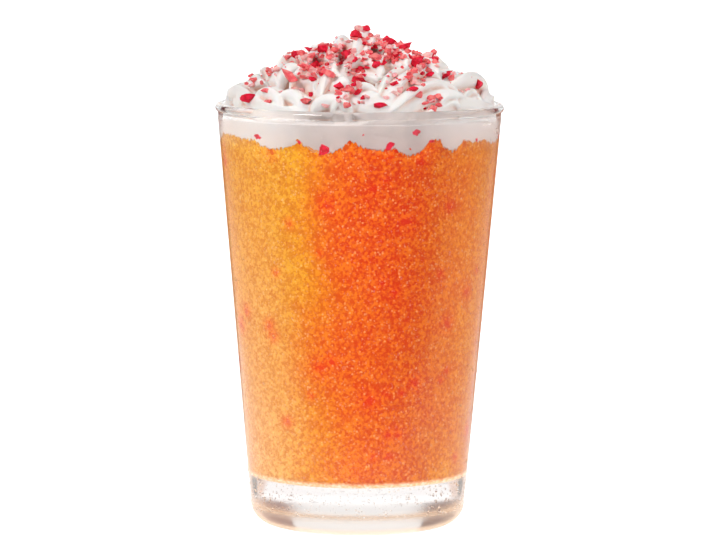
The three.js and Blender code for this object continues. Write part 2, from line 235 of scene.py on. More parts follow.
# %% The lobes
SLUSH_LEVEL, SLUSH_MIDDLE = 125.4, 121.0
FRONT_LOBES = [
    (-52, 12, 0.9),
    (-38.5, 11.5, 3.4),
    (-15, 10.5, 4.2),
    (8.5, 11.5, 3.0),
    (21.5, 8.5, 4.8),
    (42, 6.5, 3.8),
    (57, 9, 1.5),
    (74, 12, 2.6),
]
BACK_LOBES = [(94 + 22 * i, 10 + 3 * spread(i, 1), 1.8 + 2.6 * spread(i, 2)) for i in range(9)]
LOBE_ROUNDNESS = 0.8
LEVEL_SHARE = 0.45
print(len(FRONT_LOBES), "lobes by eye at the front and", len(BACK_LOBES), "by rule round the back")


def wall_line(azimuth):
    """Height of the cream's lower edge on the wall: the slush level less the deepest lobe there.

    A lobe's depth falls off as (1 - (distance / half width)^2) to the power of its roundness.
    """
    degrees = np.degrees(azimuth)
    middle, half, deepest = np.array(FRONT_LOBES + BACK_LOBES).T[:, :, None]
    away = (degrees.ravel()[None, :] - middle + 180) % 360 - 180
    share = np.clip(1 - (away / half) ** 2, 0, 1)
    depth = (deepest * share**LOBE_ROUNDNESS).max(axis=0)
    return SLUSH_LEVEL - depth.reshape(degrees.shape)


def contact_height(azimuth, share):
    """Height of the face between slush and cream at a share of the way out from the axis.

    It is level in the middle, and a smooth step then takes it up to the wall's line.
    """
    outwards = smoothstep(share, LEVEL_SHARE, 1)
    return SLUSH_MIDDLE + (wall_line(azimuth) - SLUSH_MIDDLE) * outwards


# %% The rough edge
RIPPLE_WAVES, RIPPLE_GAIN = 14, 2.4
LONG_RIPPLE, LONG_HEIGHT = 90, 0.45
SHORT_RIPPLE, SHORT_HEIGHT = 260, 0.5
AROUND_STEPS = 900


def ripple(azimuth, scale, seed):
    """A rough line round the axis: the mean of sines whose pitches and phases come from spread."""
    k = np.arange(RIPPLE_WAVES)
    pitch = np.round(scale * (0.5 + 1.6 * spread(k, seed)))
    phase = 2 * np.pi * spread(k, seed + 1)
    return np.sin(azimuth[..., None] * pitch + phase).mean(axis=-1) * RIPPLE_GAIN


def cream_edge(azimuth):
    """The wall's line with a long and a short ripple added to it."""
    lobed = wall_line(azimuth) + LONG_HEIGHT * ripple(azimuth, LONG_RIPPLE, 3)
    return lobed + SHORT_HEIGHT * ripple(azimuth, SHORT_RIPPLE, 5)


around = np.linspace(0, 2 * np.pi, AROUND_STEPS, endpoint=False)
edge_line = cream_edge(around)
print("cream edge from", edge_line.min().round(1), "to", edge_line.max().round(1), "mm")

# %% [markdown]
# ## The slush
#
# Slush is crushed ice in syrup. It is wet and clings to the glass with no air between, so its surface
# reaches a little way into the wall, and light passes straight from one into the other. It could be
# thousands of loose grains, but only the outer skin is ever seen. So it is one closed surface, and the
# material and a layer of real ice grains give it its grain.

# %% Slush surface
SLUSH_INTO_WALL = 0.08
SLUSH_STEPS, SIDE_RINGS = 520, 120
SIDE_TOP = 118
BEHIND_CREAM = 0.6
CONTACT_GAP = 0.2
coarse = np.linspace(0, 2 * np.pi, SLUSH_STEPS, endpoint=False)
coarse_edge = cream_edge(coarse) + BEHIND_CREAM
heights = np.linspace(FLOOR + CORNER, SIDE_TOP, SIDE_RINGS)
corner_x = inner_radius(FLOOR + CORNER) - CORNER
corner = arc(corner_x, FLOOR + CORNER, CORNER + SLUSH_INTO_WALL, -90, 0, 10)
low_rings = polar(corner[:-1, :1], coarse[None, :], corner[:-1, 1:])
side_rings = polar(inner_radius(heights)[:, None] + SLUSH_INTO_WALL, coarse[None, :], heights[:, None])
edge_ring = polar(inner_radius(coarse_edge) + SLUSH_INTO_WALL, coarse, coarse_edge)
shares = np.array([0.97, 0.9, 0.8, 0.6, 0.3])[:, None]
top_heights = contact_height(coarse[None, :], shares) - CONTACT_GAP
top_rings = polar(shares * inner_radius(top_heights), coarse[None, :], top_heights)
rings = np.concatenate([low_rings, side_rings, edge_ring[None], top_rings])
slush_points, slush_faces = skin(
    rings, [0, 0, FLOOR - SLUSH_INTO_WALL], [0, 0, SLUSH_MIDDLE - CONTACT_GAP]
)
slush = add_piece("slush_fine", mesh_from("slush_fine", slush_points, slush_faces))
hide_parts("slush")

# %% [markdown]
# ## The cream inside the glass
#
# Below the rim the cream is pressed flat by the wall and shows as a smooth pale band. It could be part
# of the piped mound, but its scalloped edge needs more points than that has. So it is a layer of its
# own, from the edge line up to the rim. In shallow pockets it does not quite touch the glass.

# %% Cream layer
LAYER_TOP = 130.5
CREAM_INTO_WALL = 0.12
LAYER_RINGS = 18
POCKET_DEPTH = 1.4
level = np.linspace(0, 1, LAYER_RINGS)[:, None]
layer_z = edge_line[None, :] + (LAYER_TOP - edge_line[None, :]) * level
waves = ripple(around[None, :] + 0.035 * layer_z, 7, 21) + 0.7 * np.sin(layer_z * 0.8 + 5 * around)
pocket = np.clip(waves - 0.95, 0, 1)
layer_r = inner_radius(layer_z) + CREAM_INTO_WALL - POCKET_DEPTH * pocket * np.sin(np.pi * level)
under_z = contact_height(around[None, :], shares[::-1]) + CONTACT_GAP
under_rings = polar(shares[::-1] * inner_radius(under_z), around[None, :], under_z)
rings = np.concatenate([under_rings, polar(layer_r, around[None, :], layer_z)])
layer_mesh = mesh_from("cream_layer", *skin(rings, [0, 0, SLUSH_MIDDLE + CONTACT_GAP], [0, 0, LAYER_TOP]))
layer = add_piece("cream_layer", layer_mesh)
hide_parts("cream")

# %% [markdown]
# ## The piped cream
#
# The rope leaves a star nozzle, so its section is a star of petals with sharp creases between them. It
# runs most of the way round along the wall, then climbs inwards in a coil, waving as it goes, and thins
# to a tip. On the coil lie short folds, where the nozzle was pushed and lifted. The mound could be
# sculpted, but swept sections keep the nozzle's even ridges. All these tubes overlap, and a voxel
# remesh then turns them into a single skin.

# %% The coil's path
COIL_START, COIL_END = -0.85, 3.38
COIL_TURNED = 2.4
RING_RADIUS, RING_HEIGHT = 34.4, 130.6
RADIUS_PER_TURN, RISE_PER_TURN = 9.7, 5.7
WAVES, WAVE_OUT, WAVE_UP, WAVE_LAG, WAVE_FADE = 6.5, 2.2, 1.6, 1.9, 0.22
CLEAR_OF_AXIS = 0.4
ROPE_RADIUS, SLIMMING, TIP_TAPER, TIP_LEAST = 8.6, 0.07, 0.62, 0.1
SWELL, SWELL_PITCH = 0.12, 37


def rope_size(turn):
    """The rope's widest reach: it slims as it climbs, swells as a sine, and thins to the tip."""
    to_tip = np.clip((COIL_END - turn) / TIP_TAPER, TIP_LEAST, 1)
    swell = 1 + SWELL * np.sin(SWELL_PITCH * turn)
    return ROPE_RADIUS * (1 - SLIMMING * np.maximum(turn, 0)) * np.sqrt(to_tip) * swell


def rope_centre(turn):
    """Azimuth, radius and height of the rope's centre line: a spiral with sine waves out and up."""
    climbed = np.maximum(turn, 0)
    azimuth = 2 * np.pi * turn + COIL_TURNED
    wave = 1 - WAVE_FADE * climbed
    along = WAVES * azimuth
    radius = RING_RADIUS - RADIUS_PER_TURN * climbed + WAVE_OUT * wave * np.sin(along)
    z = RING_HEIGHT + RISE_PER_TURN * climbed + WAVE_UP * wave * np.sin(along + WAVE_LAG)
    return azimuth, np.maximum(radius, rope_size(turn) + CLEAR_OF_AXIS), z


print("the rope makes", round(COIL_END - COIL_START, 2), "turns round the drink")


# %% The coil's surface
STAR_LOBES, STAR_DEPTH = 5, 0.38
FALLING, RISING = 0.8, 0.2
ROPE_TWIST, TWIST_SWING, SWING_PITCH = 4, 1.3, 9
ROPE_RINGS, ROPE_STEPS = 1500, 140
WIDEST_INSIDE = 42.6


def star(angle, lobes, depth):
    """Share of the full reach at an angle of a star section.

    Each lobe starts at a sharp ridge, falls away in a curve to a crease at four fifths of its width,
    and rises steeply to the next ridge, so that the lobes overlap like petals.
    """
    along = (lobes * angle / (2 * np.pi)) % 1
    return 1 - depth * np.where(along < FALLING, (along / FALLING) ** 1.8, (1 - along) / RISING)


def keep_inside(points):
    """Points drawn in so that below the rim none is further out than the tumbler's inner wall."""
    wall = inner_radius(np.minimum(points[..., 2], neck)) + 0.1
    return draw_in(points, np.minimum(wall, WIDEST_INSIDE))


turn = np.linspace(COIL_START, COIL_END, ROPE_RINGS)[:, None]
angle = np.linspace(0, 2 * np.pi, ROPE_STEPS, endpoint=False)[None, :]
azimuth, radius, z = rope_centre(turn)
twist = ROPE_TWIST * turn + TWIST_SWING * np.sin(SWING_PITCH * turn)
reach = rope_size(turn) * star(angle - twist, STAR_LOBES, STAR_DEPTH)
rope = polar(radius + reach * np.cos(angle), azimuth, z - reach * np.sin(angle))
ends = [polar(*[v[i, 0] for v in (radius, azimuth, z)]) for i in (0, -1)]
parts = [skin(keep_inside(rope), ends[0], ends[1])]
print("the coil climbs from", z.min().round(1), "to", z.max().round(1), "mm")

# %% The folds at the front, placed one by one
FRONT_FOLDS = [
    # start, bend and end as (x, z) seen from the front, then reach, lobes and twist in radians
    ((-26, 142.5), (-21.5, 148.5), (-14, 146.5), 4.6, 4, 1.0),
    ((-17, 144), (-23, 145.5), (-25.5, 139.5), 4.8, 3, 1.2),
    ((-12, 141), (-17, 145), (-21.5, 138.5), 5.0, 4, 1.5),
    ((-3, 141), (-9, 143.5), (-13, 136), 5.4, 4, 1.6),
    ((7, 137), (-2, 140), (-9, 133.5), 5.2, 4, 1.4),
    ((27, 138.5), (14, 146), (5, 136.5), 5.8, 5, 1.8),
    ((32, 136), (18, 141), (8, 133.5), 5.4, 5, 1.5),
    ((6, 147), (11, 151.5), (14.5, 144), 5.2, 3, 1.2),
    ((14, 146), (20.5, 147.5), (23.5, 140.5), 5.2, 4, 1.4),
    ((-9, 148), (-6, 154.5), (-1, 149.5), 4.5, 3, 1.4),
    ((-2.5, 147), (1.5, 159), (6.5, 150.5), 4.6, 4, 0.7),
    ((-17, 145.5), (-12, 151.5), (-7, 145.5), 4.9, 4, 1.5),
    ((-4, 146), (2, 149.5), (7, 142.5), 5.2, 4, 1.6),
    ((27, 140.5), (35.5, 142), (39.5, 135), 4.8, 3, 1.2),
    ((-28, 140), (-33.5, 139.5), (-37.5, 133.5), 4.8, 3, 1.2),
    ((-39.5, 134.5), (-37, 139), (-32, 134), 4.2, 3, 0.8),
    ((-31, 135), (-27, 139.5), (-23, 134), 4.6, 3, 0.8),
    ((-24, 136), (-20, 139), (-17, 133.5), 4.2, 3, 1.0),
    ((-15, 134), (-9, 138.5), (-2, 133.5), 4.6, 3, 0.6),
    ((24, 135), (27.5, 138), (30.5, 134), 3.2, 5, 0.6),
    ((31, 135.5), (34.5, 138.5), (37.5, 134), 3.2, 5, 0.6),
    ((38, 135), (40, 137.5), (41, 133), 3, 4, 0.6),
]
print(len(FRONT_FOLDS), "folds at the front")

# %% The folds round the back, placed by rule
BACK_FOLDS, BACK_LOW, BACK_HIGH = 11, 133.5, 147
MOUND_HEIGHTS = [129, 134, 140, 146, 150, 154, 160]
MOUND_RADII = [41.5, 40.5, 33, 23.5, 16, 8, 0.5]


def mound_radius(z):
    """Radius of the mound's smooth cone at height z, from straight lines between measured heights."""
    return np.interp(z, MOUND_HEIGHTS, MOUND_RADII)


def on_mound(x, z, facing):
    """The point of the smooth cone seen at (x, z) from the front (-1) or the back (1)."""
    return np.array([x, facing * np.sqrt(max(mound_radius(z) ** 2 - x**2, 1.0)), z])


def back_folds(count, low, high):
    """Folds over the back of the mound: each a step higher, at a sine of its number times the width."""
    for i in range(count):
        z = low + (high - low) * i / count
        x = mound_radius(z) * 0.85 * np.sin(2.4 * i + 1)
        turn = 1 if spread(i, 51) > 0.5 else -1
        run = 4.5 + 3 * spread(i, 52)
        start, bend = (x - turn * run, z), (x, z + 5.5)
        end = (x + turn * run * 0.8, z - 3 - 3 * spread(i, 54))
        yield start, bend, end, 4.6 + 1.0 * spread(i, 53), 3 + i % 3, 1.2 + spread(i, 55)


print(BACK_FOLDS, "folds round the back, on a mound", 2 * mound_radius(BACK_LOW).round(1), "mm across")

# %% Fold surfaces, and all tubes as one draft
FOLD_DEPTH = 0.5
FOLD_RINGS, FOLD_STEPS = 60, 84
CORE_BOTTOM, CORE_TOP = 127.5, 150
CORE_PROFILE = [[42.4, CORE_BOTTOM], [42.4, 130.5], [36, 133], [24, 139], [12, 146]]


def fold_tube(facing, start, bend, end, reach, lobes, twist):
    """A star-section tube along a quadratic curve, rounded off at both ends.

    All sections are square to the straight line between the ends, so that they never cross.
    """
    t = np.linspace(0, 1, FOLD_RINGS)[:, None]
    start, bend, end = (on_mound(*point, facing) for point in (start, bend, end))
    centre = (1 - t) ** 2 * start + 2 * t * (1 - t) * bend + t**2 * end
    along = (end - start) / np.linalg.norm(end - start)
    side = np.cross(along, bend * [1, 1, 0])
    side /= np.linalg.norm(side)
    over = np.cross(along, side)
    angle = np.linspace(0, 2 * np.pi, FOLD_STEPS, endpoint=False)
    size = reach * np.maximum(np.sqrt(1 - np.abs(2 * t - 1) ** 5), 0.05)
    reaches = (size * star(angle + twist * t, lobes, FOLD_DEPTH))[..., None]
    rings = centre[:, None] + reaches * (np.cos(angle)[:, None] * side + np.sin(angle)[:, None] * over)
    return skin(keep_inside(rings), centre[0], centre[-1])


parts += [fold_tube(-1, *fold) for fold in FRONT_FOLDS]
parts += [fold_tube(1, *fold) for fold in back_folds(BACK_FOLDS, BACK_LOW, BACK_HIGH)]
parts.append(skin(turned(CORE_PROFILE, 96), [0, 0, CORE_BOTTOM], [0, 0, CORE_TOP]))
shift = np.cumsum([0] + [len(points) for points, _ in parts])
faces = [f + s for (_, part_faces), s in zip(parts, shift) for f in part_faces]
draft_mesh = mesh_from("mound_draft", np.vstack([points for points, _ in parts]), faces)
draft = add_piece("mound_draft", draft_mesh)

# %% One skin
VOXEL = 0.42
KEPT_SHARE = 0.52
remesh = draft.modifiers.new("one skin", "REMESH")
remesh.mode = "VOXEL"
remesh.voxel_size = VOXEL * MM
soften = draft.modifiers.new("soften", "SMOOTH")
soften.factor, soften.iterations = 0.5, 1
thin_out = draft.modifiers.new("thin out", "DECIMATE")
thin_out.ratio = KEPT_SHARE
mound_mesh = bpy.data.meshes.new_from_object(draft.evaluated_get(bpy.context.evaluated_depsgraph_get()))
bpy.data.objects.remove(draft)

# Thinning out can leave two faces on the same points, and validate removes one of them.
print("a doubled face was removed:", mound_mesh.validate())
mound_mesh.polygons.foreach_set("use_smooth", np.ones(len(mound_mesh.polygons), bool))
mound = add_piece("cream_mound", mound_mesh)
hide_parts("cream")
print("mound:", len(mound_mesh.polygons), "faces")

# %% [markdown]
# ### Creases and hollows in the cream, for painted shade
#
# Creases and hollows lie in shade, and light that bounces about in a crease comes out warmer, so the
# cream's material paints shade there. An ambient occlusion node could find both, but its answer changes
# with what stands near. So the depth of each point is measured once and stored on the mesh: the whole
# skin is smoothed, and the smooth one is compared with the real one, after a few passes for creases and
# after many for wide hollows.


# %% Reading from a mesh and storing on it
def read(items, name, width, kind=float):
    """An array with one row for each point, edge or face of a mesh, from its property of that name."""
    values = np.empty(len(items) * width, kind)
    items.foreach_get(name, values)
    return values.reshape(-1, width)


def store(mesh, name, values):
    """Keeps one number per point on a mesh, for its material to read."""
    attribute = mesh.attributes.new(name, "FLOAT", "POINT")
    attribute.data.foreach_set("value", values.astype(np.float32))


print("the mound's top is", read(mound_mesh.vertices, "co", 3)[:, 2].max().round(4), "m up")

# %% Crease and hollow depth
DEPTHS = (
    # smoothing passes, name, and the depth in mm that counts as full
    (24, "crease", 0.6),
    (180, "hollow", 2.2),
)
points = read(mound_mesh.vertices, "co", 3) / MM
normals = read(mound_mesh.vertices, "normal", 3)
a, b = read(mound_mesh.edges, "vertices", 2, int).T
count = np.bincount(a, minlength=len(points)) + np.bincount(b, minlength=len(points))


def neighbour_mean(values):
    """The mean of one value over each point's neighbours, summed along the edges both ways."""
    total = np.bincount(a, values[b], len(values)) + np.bincount(b, values[a], len(values))
    return total / count


calm = points.copy()
for passes, name, full_depth in DEPTHS:
    for _ in range(passes):
        calm = np.stack([neighbour_mean(calm[:, k]) for k in range(3)], -1)
    depth = ((calm - points) * normals).sum(axis=1)
    store(mound_mesh, name, np.clip(depth / full_depth, 0, 1))
    print(name, "up to", depth.max().round(2), "mm deep, full over", (depth > full_depth).mean().round(3))

# %% [markdown]
# ## Crumbs, ice and fruit bits
#
# These are dried-fruit crumbs, grains of crushed ice and soft bits of fruit, a few millimetres long at
# most. Thousands are seen at once, so each gets only a few dozen faces. A ball cut by random planes
# gives a chip with flat facets and sharp edges, for ice and fruit. A ball whose corners are pulled in
# and out gives a torn crumb. All pieces of a kind are shaped together, as one array, and become one mesh.


# %% A ball, and turns and directions in space
def ball(subdivisions):
    """Unit points and triangles of an icosphere."""
    mesh = bpy.data.meshes.new("ball")
    shape = bmesh.new()
    bmesh.ops.create_icosphere(shape, subdivisions=subdivisions, radius=1)
    shape.to_mesh(mesh)
    shape.free()
    points, faces = read(mesh.vertices, "co", 3), read(mesh.polygons, "vertices", 3, int)
    bpy.data.meshes.remove(mesh)
    return points, faces


def directions(i, k):
    """Unit vectors spread over the sphere: an even height and an even turn for each entry of i."""
    up = 2 * spread(i, k) - 1
    turn = 2 * np.pi * spread(i, k + 1)
    flat = np.sqrt(1 - up**2)
    return np.stack([flat * np.cos(turn), flat * np.sin(turn), up], -1)


def turns(axis, angle):
    """Rotation matrices about axis 0 (x) or 2 (z): cosines and sines of each angle in the other two."""
    i, j = (k for k in range(3) if k != axis)
    matrix = np.zeros((len(angle), 3, 3))
    matrix[:, axis, axis] = 1
    matrix[:, i, i] = matrix[:, j, j] = np.cos(angle)
    matrix[:, i, j], matrix[:, j, i] = -np.sin(angle), np.sin(angle)
    return matrix


def tumble(ids, shaped, lean):
    """Each piece turned about the upright axis, leaned by at most so many radians, and turned again."""
    first, last = 2 * np.pi * spread(ids, 7), 2 * np.pi * spread(ids, 9)
    leaned = lean * (2 * spread(ids, 8) - 1)
    return np.einsum("cij,cpj->cpi", turns(2, last) @ turns(0, leaned) @ turns(2, first), shaped)


print("the balls have", [len(ball(subdivisions)[1]) for subdivisions in (1, 2)], "triangles")


# %% Chips
CHIP_BALL = 0.66
CUT_NEAREST, CUT_RANGE = 0.42, 0.34


def proportions(ids):
    """Length, width and thickness of each piece as shares of its length."""
    return np.stack([np.ones(len(ids)), 0.6 + 0.35 * spread(ids, 5), 0.4 + 0.35 * spread(ids, 6)], -1)


def chips(ids, lengths, subdivisions, lean=0.7, cuts=8):
    """Faceted chips: points (chip, corner, 3) round the origin, and the ball's triangles.

    A cutting plane at a distance d along a direction n pulls each ball point p in to d / (p . n).
    """
    points, faces = ball(subdivisions)
    reach = np.ones((len(ids), len(points)))
    for cut in range(cuts):
        normal = directions(ids, 40 + 3 * cut)
        offset = CUT_NEAREST + CUT_RANGE * spread(ids, 42 + 3 * cut)
        along = np.einsum("pk,ck->cp", points, normal)
        reach = np.minimum(reach, offset[:, None] / np.maximum(along, 1e-3))
    size = proportions(ids)[:, None]
    shaped = points[None] * reach[..., None] * size * (lengths[:, None, None] * CHIP_BALL)
    return tumble(ids, shaped, lean), faces


# %% Torn crumbs
TORN_BALL = 0.56
CORNER_LEAST, CORNER_RANGE = 0.5, 0.8
EDGE_LEAST, EDGE_RANGE = 0.87, 0.26


def torn(ids, lengths, lean=0.7):
    """Torn crumbs: an icosahedron with each corner pulled in or pushed out and its edges roughened.

    A point halfway along an edge starts from the mean of the two corners, then moves a little in or out.
    """
    corners, _ = ball(1)
    points, faces = ball(2)
    near = points @ corners.T
    share = near > near.max(axis=1, keepdims=True) - 1e-4
    share = share / share.sum(axis=1, keepdims=True)
    reach = CORNER_LEAST + CORNER_RANGE * spread(ids[:, None], 20 + np.arange(len(corners))[None, :])
    rough = EDGE_LEAST + EDGE_RANGE * spread(ids[:, None], 70 + np.arange(len(points))[None, :])
    shaped = np.einsum("pc,nc,cj->npj", share, reach, corners) * rough[..., None]
    shaped = shaped * proportions(ids)[:, None] * (lengths[:, None, None] * TORN_BALL)
    return tumble(ids, shaped, lean), faces


ids, ones = np.arange(50), np.ones(50)
for name, tried in (("chips", chips(ids, ones, 1)[0]), ("torn crumbs", torn(ids, ones)[0])):
    print(name, "meant to be 1 mm long are", np.ptp(tried, axis=1).max(axis=1).mean().round(2), "mm")


# %% Many pieces as one mesh
def join(piece_points, faces):
    """One array of points and one of faces for all pieces together, each piece's faces shifted on."""
    count, corners = piece_points.shape[:2]
    shift = (np.arange(count) * corners)[:, None, None]
    return piece_points.reshape(-1, 3), [(faces[None] + shift).reshape(-1, 3)]


def press_to_wall(points, into_wall):
    """Points drawn in to the tumbler's inner wall, plus what they reach into it."""
    return draw_in(points, inner_radius(points[..., 2]) + into_wall)


drawn = press_to_wall(np.array([50, 0, SLUSH_LEVEL]), 0)
print("a point 50 mm out at the slush level is drawn in to", drawn[0].round(1), "mm")

# %% [markdown]
# ### Crumbs on the cream
#
# Crumbs of dried fruit were scattered over the cream, and most lie in loose heaps. A rule alone would
# spread them too evenly. So the largest are set one by one, as (x, height, length, kind) seen from the
# front. Heaps of smaller ones follow, as (x, height, reach, number). The rest fall from above, spread by
# the golden angle, which leaves no rows. A ray finds the cream under each one.

# %% Crumbs that catch the eye
LANDMARKS = [
    (-1.0, 154.6, 4.6, "crimson"),
    (13.6, 151.0, 5.2, "crimson"),
    (8.8, 152.4, 5.4, "crimson"),
    (1.8, 156.6, 4.6, "crimson"),
    (-11.9, 150.4, 5.6, "crimson"),
    (-3.8, 148.5, 6.0, "crimson"),
    (-20.1, 148.6, 4.2, "crimson"),
    (-15.5, 147.6, 4.2, "coral"),
    (10.7, 148.8, 3.8, "coral"),
    (17.6, 146.4, 7.6, "crimson"),
    (21.4, 148.4, 3.6, "crimson"),
    (21.7, 142.5, 3.6, "crimson"),
    (27.4, 142.4, 3.6, "crimson"),
    (37.1, 139.4, 4.2, "crimson"),
    (-21.4, 141.3, 5.8, "coral"),
    (5.7, 132.6, 5.2, "crimson"),
    (0.0, 140.5, 6.4, "crimson"),
    (-34.6, 134.4, 5.2, "crimson"),
    (-9.7, 142.4, 5.2, "coral"),
    (4.7, 147.6, 4.2, "coral"),
    (-4.0, 137.4, 4.0, "coral"),
    (-33.0, 140.6, 3.8, "coral"),
    (18.2, 136.4, 3.8, "coral"),
    (22.3, 134.2, 3.8, "pale"),
    (-16.8, 133.8, 3.6, "coral"),
    (-10.4, 132.6, 3.2, "pale"),
    (-28.0, 133.8, 3.0, "coral"),
    (-29.4, 137.2, 3.0, "coral"),
    (20.0, 132.4, 3.0, "crimson"),
]
x, height, lengths, kinds = (np.array(column) for column in zip(*LANDMARKS))
print(len(LANDMARKS), "crumbs set one by one, up to", lengths.max(), "mm long")

# %% Heaps of smaller crumbs
HEAPS = [
    (-19.5, 149.2, 4.5, 24),
    (-13, 146.6, 5.2, 48),
    (-10.5, 150, 3.2, 16),
    (-5, 148.2, 4, 26),
    (-6, 152.8, 3, 7),
    (4, 153.2, 3.2, 14),
    (5, 148, 4.4, 34),
    (10, 149.4, 4.2, 40),
    (15, 150.2, 3.6, 26),
    (20.5, 148.2, 3.6, 22),
    (18, 143.6, 3.4, 14),
    (17, 141, 4.8, 18),
    (-1, 144.2, 5, 32),
    (-2.5, 136.4, 5, 30),
    (-15.5, 142.8, 3.8, 16),
    (-33, 140.4, 3, 7),
    (-27.6, 143.6, 2.6, 8),
    (22.5, 133.8, 3, 9),
    (27.7, 142.6, 2.2, 6),
    (8.5, 138.2, 4, 10),
]
HEAP_FILL, HEAP_FLATNESS = 0.78, 0.75
heap_x, heap_height, heap_reach, heap_count = np.array(HEAPS).T
heap = np.repeat(np.arange(len(HEAPS)), (HEAP_FILL * heap_count).astype(int))
ids = np.arange(len(heap))
scatter = heap_reach[heap] * np.sqrt(spread(ids, 61))
heap_x = heap_x[heap] + scatter * np.cos(GOLDEN * ids)
heap_height = heap_height[heap] + HEAP_FLATNESS * scatter * np.sin(GOLDEN * ids)
heap_lengths = 1.2 + 2.6 * spread(ids, 62) ** 1.5
print(len(heap), "crumbs in", len(HEAPS), "heaps")

# %% Where they land on the cream
VIEW_DROP = np.radians(4)
IN_FRONT, ABOVE = 200, 190.0
cream_skin = BVHTree.FromObject(mound, bpy.context.evaluated_depsgraph_get())


def land(starts, direction):
    """The point of the cream that a ray from each start meets first, or None where it misses."""
    return [cream_skin.ray_cast(Vector(start * MM), Vector(direction))[0] for start in starts]


front_x, front_height = np.concatenate([x, heap_x]), np.concatenate([height, heap_height])
start_height = front_height + IN_FRONT * np.tan(VIEW_DROP)
starts = np.stack([front_x, np.full(len(front_x), -float(IN_FRONT)), start_height], -1)
hits = land(starts, (0, np.cos(VIEW_DROP), -np.sin(VIEW_DROP)))
print(sum(hit is not None for hit in hits), "of", len(hits), "rays from the front meet the cream")

# %% Crumbs that fall from above
FALLEN_CRUMBS, SMALL_CRUMBS, SMALL_IDS = 72, 450, 1500
LONGEST, SHORTEST = 4.0, 1.6
ids = np.arange(FALLEN_CRUMBS)
away = 36 * spread(ids, 3) ** 0.85
fallen_lengths = SHORTEST + (LONGEST - SHORTEST) * (1 - ids / FALLEN_CRUMBS) ** 1.6
small = np.arange(SMALL_IDS, SMALL_IDS + SMALL_CRUMBS)
ids = np.concatenate([ids, small])
away = np.concatenate([away, 38 * spread(small, 3) ** 1.1])
fallen_lengths = np.concatenate([fallen_lengths, 0.6 + 1.5 * spread(small, 4) ** 2])
hits += land(polar(away, GOLDEN * ids, ABOVE), (0, 0, -1))
found = np.array([hit is not None for hit in hits])
print(found.sum(), "of", len(found), "crumbs land on the cream")

# %% The crumbs, one piece for each kind
FRONT_IDS = 1000
KINDS = np.array(["crimson", "coral", "pale"])
RISE = 0.12
ids = np.concatenate([FRONT_IDS + np.arange(len(front_x)), ids])
lengths = np.concatenate([lengths, heap_lengths, fallen_lengths])
share = spread(ids, 11) + 0.12 * (lengths < 2)
by_share = KINDS[(share > 0.26).astype(int) + (share > 0.72)]
kinds = np.concatenate([kinds, by_share[len(LANDMARKS) :]])
ground = np.array([hit if hit else (0, 0, 0) for hit in hits]) / MM
ground[:, 2] += RISE * lengths
crumbs = {}
for kind in KINDS:
    mine = found & (kinds == kind)
    shapes, faces = torn(ids[mine], lengths[mine])
    points, faces = join(shapes + ground[mine][:, None], faces)
    name = "crumbs_" + str(kind)
    piece = add_piece(name, mesh_from(name, points, faces, smooth=False))
    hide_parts("cream")
    crumbs[str(kind)] = piece

# %% [markdown]
# ### Flakes against the glass
#
# A few flakes of fruit lie between the cream and the wall, which presses them flat. They could be
# painted on the cream, but a flake with a shape keeps its sharp outline. So they are torn crumbs too,
# drawn in to the wall, as (azimuth in degrees, height, length).

# %% Flakes
FRONT_FLAKES = [
    (-47.5, 125.4, 4.2),
    (-25.8, 125.0, 2.8),
    (-14.6, 122.8, 6.0),
    (1.6, 127.5, 1.6),
    (12.6, 123.6, 4.4),
    (24, 127.6, 4.0),
    (31.3, 125.0, 2.4),
    (57.4, 124.8, 2.8),
]
BACK_FLAKES, FLAKE_IDS = 12, 1450
FLAKE_INSIDE, FLAKE_INTO_WALL = 0.35, 0.17
back = np.arange(BACK_FLAKES)
back_flakes = np.stack([85 + 17 * back, 123 + 5 * spread(back, 31), 1.5 + 3 * spread(back, 32)], -1)
turned_by, z, lengths = np.vstack([FRONT_FLAKES, back_flakes]).T
shapes, faces = torn(FLAKE_IDS + np.arange(len(z)), lengths, lean=1.4)
centre = polar(inner_radius(z) - FLAKE_INSIDE, np.radians(turned_by), z)
points, faces = join(press_to_wall(shapes + centre[:, None], FLAKE_INTO_WALL), faces)
flakes_mesh = mesh_from("flakes_at_wall", points, faces, smooth=False)
flakes = add_piece("flakes_at_wall", flakes_mesh)
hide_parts("cream")

# %% [markdown]
# ### Ice grains and sunk fruit
#
# Grains of ice and red bits of fruit show where they touch the wall. A bump in the slush's material
# could hint at them, but it has no edges that catch the light. So they are chips that lie in the
# slush's outer skin, pressed flat by the glass. Fruit at the front is set one by one, as (azimuth in
# degrees, height, size); round the back a rule spreads it.

# %% Ice grains
ICE, ICE_IDS = 5200, 3000
ICE_BOTTOM, ICE_TOP = FLOOR + 2, 123
ICE_INTO_WALL = 0.13
ids = ICE_IDS + np.arange(ICE)
lengths = 0.45 + 1.0 * spread(ids, 4) ** 3
z = ICE_BOTTOM + (ICE_TOP - ICE_BOTTOM) * (np.arange(ICE) + 0.5) / ICE
shapes, faces = chips(ids, lengths, 1, lean=1.5, cuts=5)
centre = polar(inner_radius(z) + 0.02, GOLDEN * np.arange(ICE), z)
points, faces = join(press_to_wall(shapes + centre[:, None], ICE_INTO_WALL), faces)
ice = add_piece("ice_grains", mesh_from("ice_grains", points, faces, smooth=False))
store(ice.data, "pale", np.repeat(0.05 + 0.65 * spread(ids, 9) ** 6, shapes.shape[1]))
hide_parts("slush")

